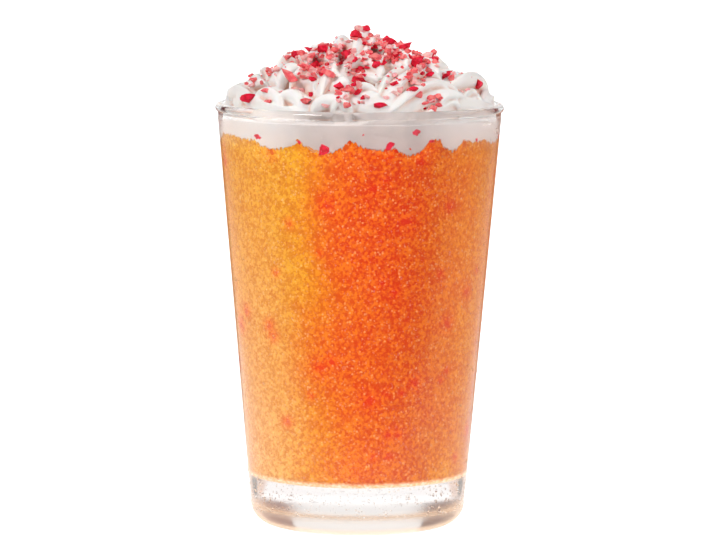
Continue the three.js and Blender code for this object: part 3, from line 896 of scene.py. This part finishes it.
# %% Fruit bits that show at the front
FRONT_BITS = [
    (-47, 66, 2.6),
    (-45, 63, 2.6),
    (-41, 83, 1.6),
    (-40, 121, 3.0),
    (-39, 36, 2.2),
    (-32, 99, 2.0),
    (-24, 45, 1.6),
    (-19, 54, 2.6),
    (-18, 90, 1.6),
    (-14, 105, 4.0),
    (-13, 56, 2.3),
    (6, 44, 4.0),
    (6, 110, 2.8),
    (8, 26, 1.6),
    (11, 81, 2.8),
    (11, 113, 2.0),
    (14, 46, 2.0),
    (15, 122, 2.4),
    (16, 26, 1.7),
    (16, 33, 2.3),
    (17, 78, 2.2),
    (21, 33, 2.4),
    (21, 100, 4.0),
    (22, 46, 1.6),
    (27, 119, 2.7),
    (29, 49, 2.8),
    (40, 83, 1.6),
    (43, 104, 2.4),
    (45, 49, 1.4),
    (47, 67, 3.0),
    (49, 52, 1.6),
]
print(len(FRONT_BITS), "fruit bits set one by one")

# %% Fruit bits, front and back
BACK_BITS, BIT_IDS = 40, 9000
BIT_BOTTOM, BIT_TOP = FLOOR + 6, 117
BIT_INSIDE, BIT_INTO_WALL = 0.2, 0.11
back = np.arange(BACK_BITS)
turned_by, z, bit_size = np.array(FRONT_BITS).T
bit_azimuth = np.radians(np.concatenate([turned_by, 60 + 240 * ((back * 0.618) % 1)]))
z = np.concatenate([z, BIT_BOTTOM + (BIT_TOP - BIT_BOTTOM) * spread(back, 33)])
bit_size = np.concatenate([bit_size, 1.4 + 2.4 * spread(back, 34) ** 1.5])
bit_centres = polar(inner_radius(z) - BIT_INSIDE, bit_azimuth, z)
shapes, faces = chips(BIT_IDS + np.arange(len(z)), bit_size, 2, lean=1.5)
points, faces = join(press_to_wall(shapes + bit_centres[:, None], BIT_INTO_WALL), faces)
bits = add_piece("fruit_bits", mesh_from("fruit_bits", points, faces, smooth=False))
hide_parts("slush")

# %% Red syrup round each fruit bit
# A bell curve of the distance to the nearest bit, as wide as the bit, for the slush's material to read.
HALO_WIDTH = 0.95
away = np.linalg.norm(slush_points[:, None, :] - bit_centres[None], axis=2)
halo = np.exp(-((away / (HALO_WIDTH * bit_size[None, :])) ** 2)).max(axis=1)
store(slush.data, "halo", halo)
print("syrup round the fruit bits covers", (100 * (halo > 0.3).mean()).round(1), "% of the slush")

# %% [markdown]
# ## Condensation
#
# Fine beads of water stand on the outside of the cold glass. A bump in the glass's material could
# suggest them, but a real dome bends the view behind it and sparkles. So each is a low dome, sunk a
# little into the glass so that no gap shows under it. The domes have few faces, as there are thousands.

# %% Drop shapes
DROP_SINK = 0.02
DROP_HEIGHT = 0.3


def cap(steps, shares):
    """A low drop of radius and height 1: a paraboloid cut by its foot, as points and triangles."""
    share = np.array(shares)[:, None]
    turn = np.linspace(0, 2 * np.pi, steps, endpoint=False)[None, :]
    rings = np.stack([share * np.cos(turn), share * np.sin(turn), 1 - share**2 + 0 * turn], -1)
    points, faces = skin(rings, [0, 0, -0.1], [0, 0, 1])
    return points, np.vstack([faces[0][:, [0, 1, 2]], faces[0][:, [0, 2, 3]], faces[1], faces[2]])


def drops(name, shape, ids, azimuth, z, size):
    """Drops on the tumbler's outside: a cap scaled to each size, taller than wide by up to a half."""
    outward = polar(1.0, azimuth, 0.0)
    sideways = np.stack([outward[:, 1], -outward[:, 0], 0 * azimuth], -1)
    upward = np.array([0.0, 0.0, 1.0])
    stretch = np.stack([0 * size + 1, 1 + 0.5 * spread(ids, 4), 0 * size + DROP_HEIGHT], -1)
    local = shape[0][None] * (size[:, None] * stretch)[:, None]
    placed = (
        polar(outer_radius(z) - DROP_SINK, azimuth, z)[:, None]
        - local[..., :1] * sideways[:, None]
        + local[..., 1:2] * upward
        + local[..., 2:] * outward[:, None]
    )
    piece = add_piece(name, mesh_from(name, *join(placed, shape[1])))
    piece.data.set_sharp_from_angle(angle=np.radians(60))
    return piece


print("a fine bead has", len(cap(6, [1.0, 0.55])[1]), "triangles")


# %% Fine beads, all over the outside
FINE, FINE_IDS = 7600, 12000
FINE_BOTTOM, FINE_RISE = 8, GLASS_HEIGHT - 15
ids = FINE_IDS + np.arange(FINE)
azimuth = GOLDEN * np.arange(FINE) + 0.3 * spread(ids, 3)
z = FINE_BOTTOM + FINE_RISE * (np.arange(FINE) + 0.5) / FINE
size = 0.09 + 0.17 * spread(ids, 1) ** 2
fine_drops = drops("fine_condensation", cap(6, [1.0, 0.55]), ids, azimuth, z, size)

# %% Larger drops, most of them round the base and low on the sides
LARGE, LARGE_IDS = 1500, 22000
ids = LARGE_IDS + np.arange(LARGE)
low = spread(ids, 7) < 0.5
z = np.where(low, 5.5 + 11.5 * spread(ids, 2), 12 + 118 * spread(ids, 2))
size = 0.18 + 0.22 * spread(ids, 1) ** 2 + 0.34 * spread(ids, 8) ** 12
large_drops = drops("condensation", cap(10, [1.0, 0.8, 0.45]), ids, GOLDEN * np.arange(LARGE), z, size)

# %% [markdown]
# ## Materials
#
# Photographs wrapped round the drink would fix its colour, but would blur close up. So all patterns are
# worked out by nodes from object coordinates, which are metres in the frame of the drink, and from the
# numbers stored on the meshes. A pattern that several materials share is a node group with named
# inputs and outputs; the shader itself stays in each material.


# %% Nodes and their inputs
def feed(tree, node, name, value):
    """Sets an input, found by its name or number, to a value, or joins another node's output to it."""
    socket = node.inputs[int(name)] if name.isdigit() else node.inputs[name]
    if isinstance(value, bpy.types.NodeSocket):
        tree.links.new(value, socket)
    else:
        socket.default_value = value


def add_node(tree, kind, **inputs):
    """A node of a kind, with the named inputs set to values or joined to other nodes' outputs."""
    node = tree.nodes.new(kind)
    for name, value in inputs.items():
        feed(tree, node, name.replace("_", " "), value)
    return node


# %% Arithmetic with nodes
def math(tree, operation, a, b=0.0):
    """One arithmetic step; returns its output."""
    node = tree.nodes.new("ShaderNodeMath")
    node.operation = operation
    feed(tree, node, "0", a)
    feed(tree, node, "1", b)
    return node.outputs[0]


def plus(tree, a, b):
    """The sum of two numbers."""
    return math(tree, "ADD", a, b)


def minus(tree, a, b):
    """The first number less the second."""
    return math(tree, "SUBTRACT", a, b)


def times(tree, a, b):
    """The product of two numbers."""
    return math(tree, "MULTIPLY", a, b)


def ramp(tree, value, low, high):
    """0 at low and 1 at high, smooth between them, whichever of the two is larger."""
    node = tree.nodes.new("ShaderNodeMapRange")
    node.interpolation_type = "SMOOTHSTEP"
    for name, given in (("Value", value), ("From Min", low), ("From Max", high)):
        feed(tree, node, name, given)
    return node.outputs[0]


def ramp_mm(tree, value, low, high):
    """A ramp over a value in metres, between limits in mm."""
    return ramp(tree, value, low * MM, high * MM)


# %% Colours and patterns
def blend(tree, factor, a, b, mode="MIX"):
    """Colour a where factor is 0 and b, or their product in the mode MULTIPLY, where it is 1."""
    node = tree.nodes.new("ShaderNodeMix")
    node.data_type, node.blend_type = "RGBA", mode
    for name, given in (("0", factor), ("6", a), ("7", b)):
        feed(tree, node, name, given)
    return node.outputs[2]


def noise(tree, vector, size_mm, detail=2.0, roughness=0.5):
    """Noise from 0 to 1 with features of about a size in mm."""
    scale = 1000 / size_mm
    node = add_node(
        tree, "ShaderNodeTexNoise", Vector=vector, Scale=scale, Detail=detail, Roughness=roughness
    )
    return node.outputs["Fac"]


def object_coordinates(tree):
    """The place on the drink, in metres from its origin."""
    return tree.nodes.new("ShaderNodeTexCoord").outputs["Object"]


def xyz(tree, vector):
    """The three numbers of a place or direction."""
    return add_node(tree, "ShaderNodeSeparateXYZ", Vector=vector).outputs


def stored(tree, name):
    """A number that was stored on the mesh's points."""
    node = tree.nodes.new("ShaderNodeAttribute")
    node.attribute_name = name
    return node.outputs["Fac"]


def grainy_bump(tree, where, size_mm, strength):
    """A normal tilted by fine noise, as if the surface had grains of about a size in mm."""
    height = noise(tree, where, size_mm, 3.0)
    return add_node(tree, "ShaderNodeBump", Height=height, Strength=strength, Distance=0.0002).outputs[0]


# %% Groups and materials
def new_group(name, outputs):
    """An empty node group that reads a place, with outputs given as (name, type) pairs."""
    group = bpy.data.node_groups.new(name, "ShaderNodeTree")
    group.interface.new_socket("Vector", in_out="INPUT", socket_type="NodeSocketVector")
    for socket, kind in outputs:
        group.interface.new_socket(socket, in_out="OUTPUT", socket_type="NodeSocket" + kind)
    where = group.nodes.new("NodeGroupInput").outputs["Vector"]
    return group, where


def finish_group(group, **results):
    """Joins a group's results to its named outputs."""
    add_node(group, "NodeGroupOutput", **results)
    print(f"{group.name}: a group of {len(group.nodes)} nodes")


def use_group(tree, group, where):
    """A group placed in a material's tree; returns its outputs."""
    node = tree.nodes.new("ShaderNodeGroup")
    node.node_tree = group
    feed(tree, node, "Vector", where)
    return node.outputs


def material(name, **values):
    """A material with one Principled shader, its sockets set by name; returns it, its tree and shader."""
    made = bpy.data.materials.new(name)
    made.use_nodes = True
    shader = made.node_tree.nodes["Principled BSDF"]
    for socket, value in values.items():
        feed(made.node_tree, shader, socket.replace("_", " "), value)
    return made, made.node_tree, shader


def paint(made, *pieces):
    """Gives pieces a material, in place of any they have."""
    for piece in pieces:
        piece.data.materials.clear()
        piece.data.materials.append(made)
        print(f"{piece.name} is {made.name}, {len(made.node_tree.nodes)} nodes")


# %% [markdown]
# ### Clear glass and water
#
# The real glass is polished, a fine mist dulls its outside above the base, and the thick base looks a
# little grey. The mist could be a separate shell, but roughness that depends on height and on the
# distance from the outer cone puts it on the outside alone. Glass and water refract what is behind
# them. To shadow rays they are open, because light bent on its way to the slush would need very many
# samples.


# %% Clear materials
def clear(name, ior, colour, roughness=0.0):
    """A material that bends light by an index of refraction, and that shadow rays pass through."""
    made, tree, shader = material(
        name, Transmission_Weight=1.0, IOR=ior, Roughness=roughness, Base_Color=colour
    )
    path = tree.nodes.new("ShaderNodeLightPath")
    open_air = tree.nodes.new("ShaderNodeBsdfTransparent")
    mix = tree.nodes.new("ShaderNodeMixShader")
    tree.links.new(path.outputs["Is Shadow Ray"], mix.inputs["Fac"])
    tree.links.new(shader.outputs[0], mix.inputs[1])
    tree.links.new(open_air.outputs[0], mix.inputs[2])
    tree.links.new(mix.outputs[0], tree.nodes["Material Output"].inputs["Surface"])
    return made, tree, shader


# %% Glass
GLASS_BENDS, CLEAR_GLASS = 1.5, (0.97, 0.985, 0.98, 1)
HEEL_TINGE, BASE_TINGE = (0.905, 0.9, 0.89, 1), (0.78, 0.76, 0.755, 1)
MIST, HEEL_DULLNESS, FOOT_DULLNESS = 0.24, 0.34, 0.26

# An effect is absent at the first number of its span and full at the second. SKIN_SPAN is in mm under
# the outer cone, and the other spans are heights in mm.
SKIN_SPAN, MIST_TOP, MIST_BOTTOM = (1.2, 0.6), (130.5, 128.5), (14.5, 17.5)
HEEL_SPAN, FOOT_SPAN, ABOVE_HEEL, BASE_SPAN = (8.5, 5), (2, 0.8), (7.5, 9), (17.5, 15.5)
made, tree, shader = clear("glass", GLASS_BENDS, CLEAR_GLASS)
x, y, z = xyz(tree, object_coordinates(tree))
from_axis = math(tree, "SQRT", plus(tree, times(tree, x, x), times(tree, y, y)))
cone = plus(tree, times(tree, z, (TOP_RADIUS - BASE_RADIUS) / GLASS_HEIGHT), BASE_RADIUS * MM)
misted = ramp_mm(tree, minus(tree, cone, from_axis), *SKIN_SPAN)
misted = times(tree, misted, ramp_mm(tree, z, *MIST_TOP))
misted = times(tree, misted, ramp_mm(tree, z, *MIST_BOTTOM))
heel = times(tree, ramp_mm(tree, z, *HEEL_SPAN), HEEL_DULLNESS)
foot = times(tree, ramp_mm(tree, z, *FOOT_SPAN), FOOT_DULLNESS)
feed(tree, shader, "Roughness", plus(tree, times(tree, misted, MIST), plus(tree, heel, foot)))
tinge = blend(tree, ramp_mm(tree, z, *ABOVE_HEEL), HEEL_TINGE, BASE_TINGE)
feed(tree, shader, "Base Color", blend(tree, ramp_mm(tree, z, *BASE_SPAN), CLEAR_GLASS, tinge))
paint(made, glass)

# %% Water
WATER_BENDS, WATER_COLOUR, WATER_DULLNESS = 1.33, (1, 1, 1, 1), 0.14
paint(clear("water", WATER_BENDS, WATER_COLOUR, WATER_DULLNESS)[0], fine_drops, large_drops)

# %% [markdown]
# ### Slush
#
# The slush runs from amber on the left to red-orange right of the middle, pales at both sides, and is
# lighter at its floor. On it lie a fine grain, pale specks and small dark marks. It could be a scattering
# volume, but that is slow and shows no grain. So it is a dull skin: broad tints blended by azimuth and
# height, then the grain on top, and a faint glow that stands for the light inside it. The tints are
# partly the syrup's own colour and partly painted light: lighter sides where light falls, a painted
# reflection that pales the left edge, and painted light and glow at the floor.

# %% Slush tint, shared by the slush, its ice grains and its fruit
# Broad tints, partly the syrup's own colour and partly painted light: amber on the lit left, red-orange
# right of the middle, and a brighter orange painted on the right side.
AMBER, DEEP = (0.79, 0.385, 0.015, 1), (0.8, 0.055, 0.0, 1)
# The second colour on this line, a pale peach, is a painted reflection along the left edge.
RIGHT, LEFT_SHEEN = (0.98, 0.3, 0.055, 1), (0.87, 0.55, 0.31, 1)
# The second colour on this line, pale at the floor, is painted light.
LOW, FLOOR_PAINTED_LIGHT = (0.72, 0.25, 0.035, 1), (1.0, 0.84, 0.76, 1)
RIGHT_SHARE, LOW_SHARE, LEFT_SHEEN_SHARE = 0.55, 0.28, 0.55
DEEP_AZIMUTH, WANDERING, WANDER_SIZE = 0.72, 0.9, 28
LOW_SPAN, LEFT_SHEEN_SPAN, FLOOR_SPAN = (100, 15), (120, 20), (17.8, 16.4)
# Painted light: a faint glow that stands for light inside the slush, stronger at its floor.
GLOW, FLOOR_GLOW = 0.1, 0.3
tint_group, where = new_group("slush_tint", [("Color", "Color"), ("Glow", "Float")])
tree = tint_group
x, y, z = xyz(tree, where)
azimuth = math(tree, "ARCTAN2", x, times(tree, y, -1.0))
wandering = plus(tree, azimuth, times(tree, noise(tree, where, WANDER_SIZE, 3.0), WANDERING))
towards_deep = math(tree, "COSINE", minus(tree, wandering, DEEP_AZIMUTH))
tint = blend(tree, ramp(tree, towards_deep, 0.55, 1.05), AMBER, DEEP)
sideways = math(tree, "SINE", azimuth)
tint = blend(tree, times(tree, ramp(tree, sideways, 0.4, 1.0), RIGHT_SHARE), tint, RIGHT)
tint = blend(tree, times(tree, ramp_mm(tree, z, *LOW_SPAN), LOW_SHARE), tint, LOW)
# A painted reflection: the slush pales towards its left side, more so lower down.
lower_left = plus(tree, ramp_mm(tree, z, *LEFT_SHEEN_SPAN), 0.35)
left_sheen = times(tree, ramp(tree, sideways, -0.3, -1.0), lower_left)
tint = blend(tree, times(tree, left_sheen, LEFT_SHEEN_SHARE), tint, LEFT_SHEEN)
# Painted light: the slush is paler at its floor and glows more there.
painted_floor_light = ramp_mm(tree, z, *FLOOR_SPAN)
tint = blend(tree, painted_floor_light, tint, FLOOR_PAINTED_LIGHT)
finish_group(tree, Color=tint, Glow=plus(tree, times(tree, painted_floor_light, FLOOR_GLOW), GLOW))

# %% Icy grain
# Cells of crushed ice, bent by noise. Some are light, some dark, and all differ a little in tone.
CELL, BEND = 0.75, 0.0006
grain_group, where = new_group("icy_grain", [("Light", "Float"), ("Dark", "Float"), ("Tone", "Float")])
tree = grain_group
warp = add_node(tree, "ShaderNodeTexNoise", Vector=where, Scale=1000 / 1.1, Detail=2.0)
bent = add_node(tree, "ShaderNodeVectorMath", **{"0": warp.outputs["Color"], "1": (BEND, BEND, BEND)})
bent.operation = "MULTIPLY"
moved = add_node(tree, "ShaderNodeVectorMath", **{"0": bent.outputs[0], "1": where})
cells = add_node(tree, "ShaderNodeTexVoronoi", Vector=moved.outputs[0], Scale=1000 / CELL)
red, green, blue = add_node(tree, "ShaderNodeSeparateColor", Color=cells.outputs["Color"]).outputs
fine = noise(tree, where, 0.7, 3.0, 0.6)
patchy = noise(tree, where, 5, 3.0, 0.6)
tone = plus(tree, times(tree, blue, 0.4), times(tree, fine, 0.6))
tone = plus(tree, times(tree, tone, 0.75), times(tree, patchy, 0.25))
near = ramp(tree, cells.outputs["Distance"], 0.52, 0.3)
light = times(tree, near, ramp(tree, red, 0.78, 0.95))
dark = times(tree, near, ramp(tree, green, 0.85, 1.0))
finish_group(tree, Light=light, Dark=dark, Tone=tone)

# %% Slush material
RED_SYRUP, SHADED, SUNLIT = (0.85, 0.035, 0.004, 1), (0.84, 0.6, 0.3, 1), (1.0, 0.62, 0.03, 1)
ICE_LIGHT, FRUIT_DARK = (1.0, 0.72, 0.28, 1), (0.55, 0.05, 0.0, 1)
BLACK = (0, 0, 0, 1)
made, tree, shader = material("slush", Roughness=0.5, Specular_IOR_Level=0.0)
where = object_coordinates(tree)
tinted = use_group(tree, tint_group, where)
grain = use_group(tree, grain_group, where)
colour = blend(tree, times(tree, stored(tree, "halo"), 0.7), tinted["Color"], RED_SYRUP)
shaded = blend(tree, 1.0, colour, SHADED, "MULTIPLY")
sunlit = blend(tree, 0.2, colour, SUNLIT)
colour = blend(tree, ramp(tree, grain["Tone"], 0.38, 0.66), shaded, sunlit)
colour = blend(tree, times(tree, grain["Light"], 0.45), colour, ICE_LIGHT)
colour = blend(tree, times(tree, grain["Dark"], 0.5), colour, FRUIT_DARK)
feed(tree, shader, "Base Color", colour)
# Painted light: the slush glows faintly in its own colour, more at its floor, standing for light inside
# it.
feed(tree, shader, "Emission Color", blend(tree, tinted["Glow"], BLACK, colour))
feed(tree, shader, "Emission Strength", 1.0)
paint(made, slush)

# %% Ice grains and fruit bits
PALE_ICE, FRUIT_RED = (1.0, 0.7, 0.28, 1), (0.78, 0.02, 0.006, 1)
made, tree, shader = material("ice", Roughness=0.25, Specular_IOR_Level=0.1)
tint = use_group(tree, tint_group, object_coordinates(tree))["Color"]
feed(tree, shader, "Base Color", blend(tree, stored(tree, "pale"), tint, PALE_ICE))
paint(made, ice)
made, tree, shader = material("sunk_fruit", Roughness=0.5, Specular_IOR_Level=0.0)
tint = use_group(tree, tint_group, object_coordinates(tree))["Color"]
feed(tree, shader, "Base Color", blend(tree, 0.65, tint, FRUIT_RED))
paint(made, bits)

# %% [markdown]
# ### Cream and crumbs
#
# Whipped cream is soft and near white, with a slight sheen, and light spreads a little way under its
# surface. Its creases and hollows lie in shade and look warmer, and behind the tumbler's wall it is
# shaded greyer and a little pink. One even colour would lose both, and a photograph of cream would hold
# its own light and shadow. So this shade is painted: the depths stored on the mound darken and warm its
# colour, and a mask by height and by side paints it greyer inside the tumbler. The crumbs are dull dried
# fruit in three kinds, and noise mixes two tones in each.

# %% Cream
# Painted shade: the second and third colours are the cream darkened and warmed where shade falls in its
# hollows and creases.
CREAM, HOLLOW_SHADE, CREASE_SHADE = (0.92, 0.895, 0.87, 1), (0.82, 0.71, 0.66, 1), (0.78, 0.52, 0.42, 1)
# Painted shade: greyer, slightly pink colours for the cream behind the tumbler's wall, in patches, and a
# little lighter on the right.
BAND_SHADE, BAND_SHADE_PATCH, BAND_SHADE_RIGHT = (0.66, 0.585, 0.562, 1), (0.59, 0.525, 0.508, 1), (0.765, 0.705, 0.69, 1)
made, tree, shader = material("cream", Roughness=0.42, Subsurface_Weight=0.3, Subsurface_Scale=0.0009)
feed(tree, shader, "Subsurface Radius", (1.0, 0.8, 0.65))
where = object_coordinates(tree)
x, y, z = xyz(tree, where)
# Painted shade in the hollows and creases, read from the depths stored on the mound.
colour = blend(tree, stored(tree, "hollow"), CREAM, HOLLOW_SHADE)
colour = blend(tree, times(tree, stored(tree, "crease"), 0.85), colour, CREASE_SHADE)
# A grey shade painted on the cream below the rim, in noise patches, lighter on the right and weaker at
# the far left.
shaded_band = blend(tree, ramp(tree, noise(tree, where, 9, 2.0), 0.4, 0.6), BAND_SHADE, BAND_SHADE_PATCH)
shaded_band = blend(tree, ramp_mm(tree, x, 16, 30), shaded_band, BAND_SHADE_RIGHT)
shade_rightwards = plus(tree, times(tree, ramp_mm(tree, x, -34, -12), 0.75), 0.25)
band_shade_mask = times(tree, ramp_mm(tree, z, GLASS_HEIGHT, 132.5), shade_rightwards)
feed(tree, shader, "Base Color", blend(tree, band_shade_mask, colour, shaded_band))
feed(tree, shader, "Normal", grainy_bump(tree, where, 1.6, 0.25))
paint(made, layer, mound)

# %% Crumbs
CRUMB_COLOURS = {
    "crimson": ((0.86, 0.012, 0.055, 1), (0.62, 0.005, 0.02, 1)),
    "coral": ((0.95, 0.24, 0.23, 1), (0.86, 0.1, 0.12, 1)),
    "pale": ((0.96, 0.58, 0.56, 1), (0.93, 0.38, 0.38, 1)),
}
for kind, (main, other) in CRUMB_COLOURS.items():
    made, tree, shader = material(
        "crumb_" + kind, Roughness=0.55, Subsurface_Weight=0.15, Subsurface_Scale=0.001
    )
    feed(tree, shader, "Specular IOR Level", 0.25)
    where = object_coordinates(tree)
    mottled = ramp(tree, noise(tree, where, 1.4, 3.0), 0.4, 0.62)
    feed(tree, shader, "Base Color", blend(tree, mottled, main, other))
    feed(tree, shader, "Normal", grainy_bump(tree, where, 0.5, 0.5))
    paint(made, crumbs[kind])
paint(bpy.data.materials["crumb_crimson"], flakes)

# %% [markdown]
# ## Surroundings, lights and camera
#
# Clear glass shows only what is round it, so most of its look is made here. One white room would do for
# the cream, but would leave the edges of the glass invisible. So the camera sees plain white paper,
# while the light on the drink, and what shows in its glass, come from a second floor, a bright sheet
# behind and dull boards at the sides.


# %% Glowing paper
def glowing(name, colour, grey=0.0, roughness=1.0):
    """A material that shines evenly in one colour, on paper of a grey that lights fall on."""
    made, tree, shader = material(name, Base_Color=(grey, grey, grey, 1), Roughness=roughness)
    feed(tree, shader, "Emission Color", colour)
    feed(tree, shader, "Emission Strength", 1.0)
    return made, tree, shader


def sheet(name, size, **placed):
    """A square sheet of paper of a size in metres."""
    bpy.ops.mesh.primitive_plane_add(size=size, **placed)
    made = bpy.context.object
    made.name = name
    return made


# %% The floor that the camera sees
WHITE, WARM = (1, 1, 1, 1), (0.8, 0.58, 0.48, 1)
FLOOR_SIZE, PAPER_GREY, PAPER_ROUGHNESS = 12, 0.3, 0.9
floor = sheet("floor", FLOOR_SIZE)
paint(glowing("white_paper", WHITE, PAPER_GREY, PAPER_ROUGHNESS)[0], floor)
floor.visible_diffuse = floor.visible_glossy = floor.visible_transmission = floor.visible_shadow = False

# %% The floor that lights the drink
# It glows behind the drink, warm at the sides of that strip, and is dim in front and far to the sides.
light_floor = sheet("light_floor", FLOOR_SIZE)
light_floor.visible_camera = False
made, tree, shader = glowing("paper", WHITE, PAPER_GREY, PAPER_ROUGHNESS)
x, y, z = xyz(tree, object_coordinates(tree))
beside = minus(tree, math(tree, "ABSOLUTE", x), times(tree, y, 0.09))
lit = times(tree, ramp(tree, y, -0.14, -0.085), ramp(tree, beside, 0.6, 0.35))
feed(tree, shader, "Emission Color", blend(tree, ramp(tree, beside, 0.16, 0.22), WHITE, WARM))
feed(tree, shader, "Emission Strength", plus(tree, times(tree, lit, 0.97), 0.03))
paint(made, light_floor)

# %% Backdrop
BACKDROP_SIZE, BACKDROP_PLACE = 4, (0, 4, 0.4)
backdrop = sheet("backdrop", BACKDROP_SIZE, location=BACKDROP_PLACE, rotation=(np.radians(90), 0, 0))
paint(glowing("bright_paper", WHITE)[0], backdrop)

# %% [markdown]
# ### Boards that only the glass shows
#
# Real glass on white has dark edges, because there it bends the view past the white to something
# darker. The thick base bends it far sideways, so dull boards on each side of the backdrop show as the
# blocks near the edges of the base. At grazing angles the wall mirrors the floor behind it, so dark
# strips lying there draw its outline. Edges could be painted on the glass, but real ones move with
# the view, as these do.

# %% Boards and strips
STAND_AWAY, STAND_HEIGHT, STRIP_NEAR, STRIP_FAR, STRIP_ABOVE = 4200, 2600, 120, 2500, 3
STANDING = ((STAND_AWAY, 0), (STAND_AWAY, STAND_HEIGHT))
LYING = ((STRIP_NEAR, STRIP_ABOVE), (STRIP_FAR, STRIP_ABOVE))
BOARDS = {
    # first and last azimuth in degrees, (radius, height) of two edges, colour, and what shows it
    "left_front": (20, 65, STANDING, (0.74, 0.5, 0.41, 1), "refraction"),
    "left_edge": (65, 128, STANDING, (0.74, 0.5, 0.41, 1), "both"),
    "left_block": (128, 153, STANDING, (0.22, 0.06, 0.05, 1), "both"),
    "right_block": (207, 240, STANDING, (0.1, 0.01, 0.01, 1), "both"),
    "right_edge": (240, 295, STANDING, (0.8, 0.58, 0.5, 1), "both"),
    "right_front": (295, 340, STANDING, (0.8, 0.58, 0.5, 1), "refraction"),
    "left_strip": (154, 171, LYING, (0.35, 0.1, 0.04, 1), "sheen"),
    "right_strip": (189, 206, LYING, (0.22, 0.03, 0.015, 1), "sheen"),
}
BOARD_STEPS = 12
for name, (first, last, edges, board_colour, shown_by) in BOARDS.items():
    bend = np.radians(np.linspace(first, last, BOARD_STEPS))
    points = np.vstack([polar(away, bend, height) for away, height in edges])
    j = np.arange(BOARD_STEPS - 1)
    quads = np.stack([j, j + 1, j + 1 + BOARD_STEPS, j + BOARD_STEPS], -1)
    board = link(name, mesh_from(name, points, [quads], smooth=False))
    paint(glowing(name, board_colour)[0], board)
    board.visible_camera = board.visible_diffuse = board.visible_shadow = False
    board.visible_glossy = shown_by != "refraction"
    board.visible_transmission = shown_by != "sheen"

# %% [markdown]
# ### Room light, lamps and camera
#
# The room's own light is dim on the camera's side and brighter above, behind and at the sides. One even
# light would flatten the folds of the cream. A soft lamp at the upper left models them, and a fainter
# one at the front right fills their shadows and is kept out of the glass. The camera has a long lens
# and stands well away, looking down a little, so that the rim shows as a narrow ellipse.

# %% Room light
FROM_BACK, FROM_ABOVE, FROM_SIDES, EVERYWHERE = 0.26, 0.1, 0.42, 0.08
world = bpy.data.worlds.new("studio")
bpy.context.scene.world = world
world.use_nodes = True
tree = world.node_tree
x, y, z = xyz(tree, tree.nodes.new("ShaderNodeTexCoord").outputs["Generated"])
behind = times(tree, ramp(tree, y, -0.6, 0.2), FROM_BACK)
above = times(tree, ramp(tree, z, 0.2, 0.9), FROM_ABOVE)
aside = times(tree, ramp(tree, math(tree, "ABSOLUTE", x), 0.35, 0.95), FROM_SIDES)
strength = plus(tree, plus(tree, behind, above), plus(tree, aside, EVERYWHERE))
seen = tree.nodes.new("ShaderNodeLightPath").outputs["Is Camera Ray"]
feed(tree, tree.nodes["Background"], "Color", WHITE)
feed(tree, tree.nodes["Background"], "Strength", math(tree, "MAXIMUM", strength, seen))
print("room light:", len(tree.nodes), "nodes")


# %% Lights
DRINK_MIDDLE = (0, 0, 0.1)
LIGHT_SIZE = 0.5


def softbox(name, place, power):
    """A square area light at a place, turned to face the middle of the drink."""
    light = bpy.data.lights.new(name, "AREA")
    light.shape, light.size, light.energy = "SQUARE", LIGHT_SIZE, power
    lamp = link(name, light)
    lamp.location = place
    lamp.rotation_euler = (Vector(DRINK_MIDDLE) - Vector(place)).to_track_quat("-Z", "Y").to_euler()
    print(name, "light:", power, "W")
    return lamp


softbox("key", (-0.85, -0.8, 1.0), 12)
front = softbox("front", (1.05, -1.1, 0.6), 10.5)
front.visible_glossy = front.visible_transmission = False

# %% Camera
CAMERA_AWAY, CAMERA_HEIGHT, CAMERA_ASIDE = 1.35, 0.228, -0.0004
LOOKS_DOWN, ROLL = 6.36, -0.31
LENS, SENSOR = 213.8, 36
camera_data = bpy.data.cameras.new("camera")
camera_data.lens, camera_data.sensor_width = LENS, SENSOR
camera_data.dof.use_dof = False
camera = link("camera", camera_data)
camera.location = (CAMERA_ASIDE, -CAMERA_AWAY, CAMERA_HEIGHT)
camera.rotation_euler = (np.radians(90 - LOOKS_DOWN), np.radians(ROLL), 0)
bpy.context.scene.camera = camera
bpy.context.scene.view_settings.view_transform = "Standard"
print("camera", CAMERA_AWAY, "m away, lens", LENS, "mm")
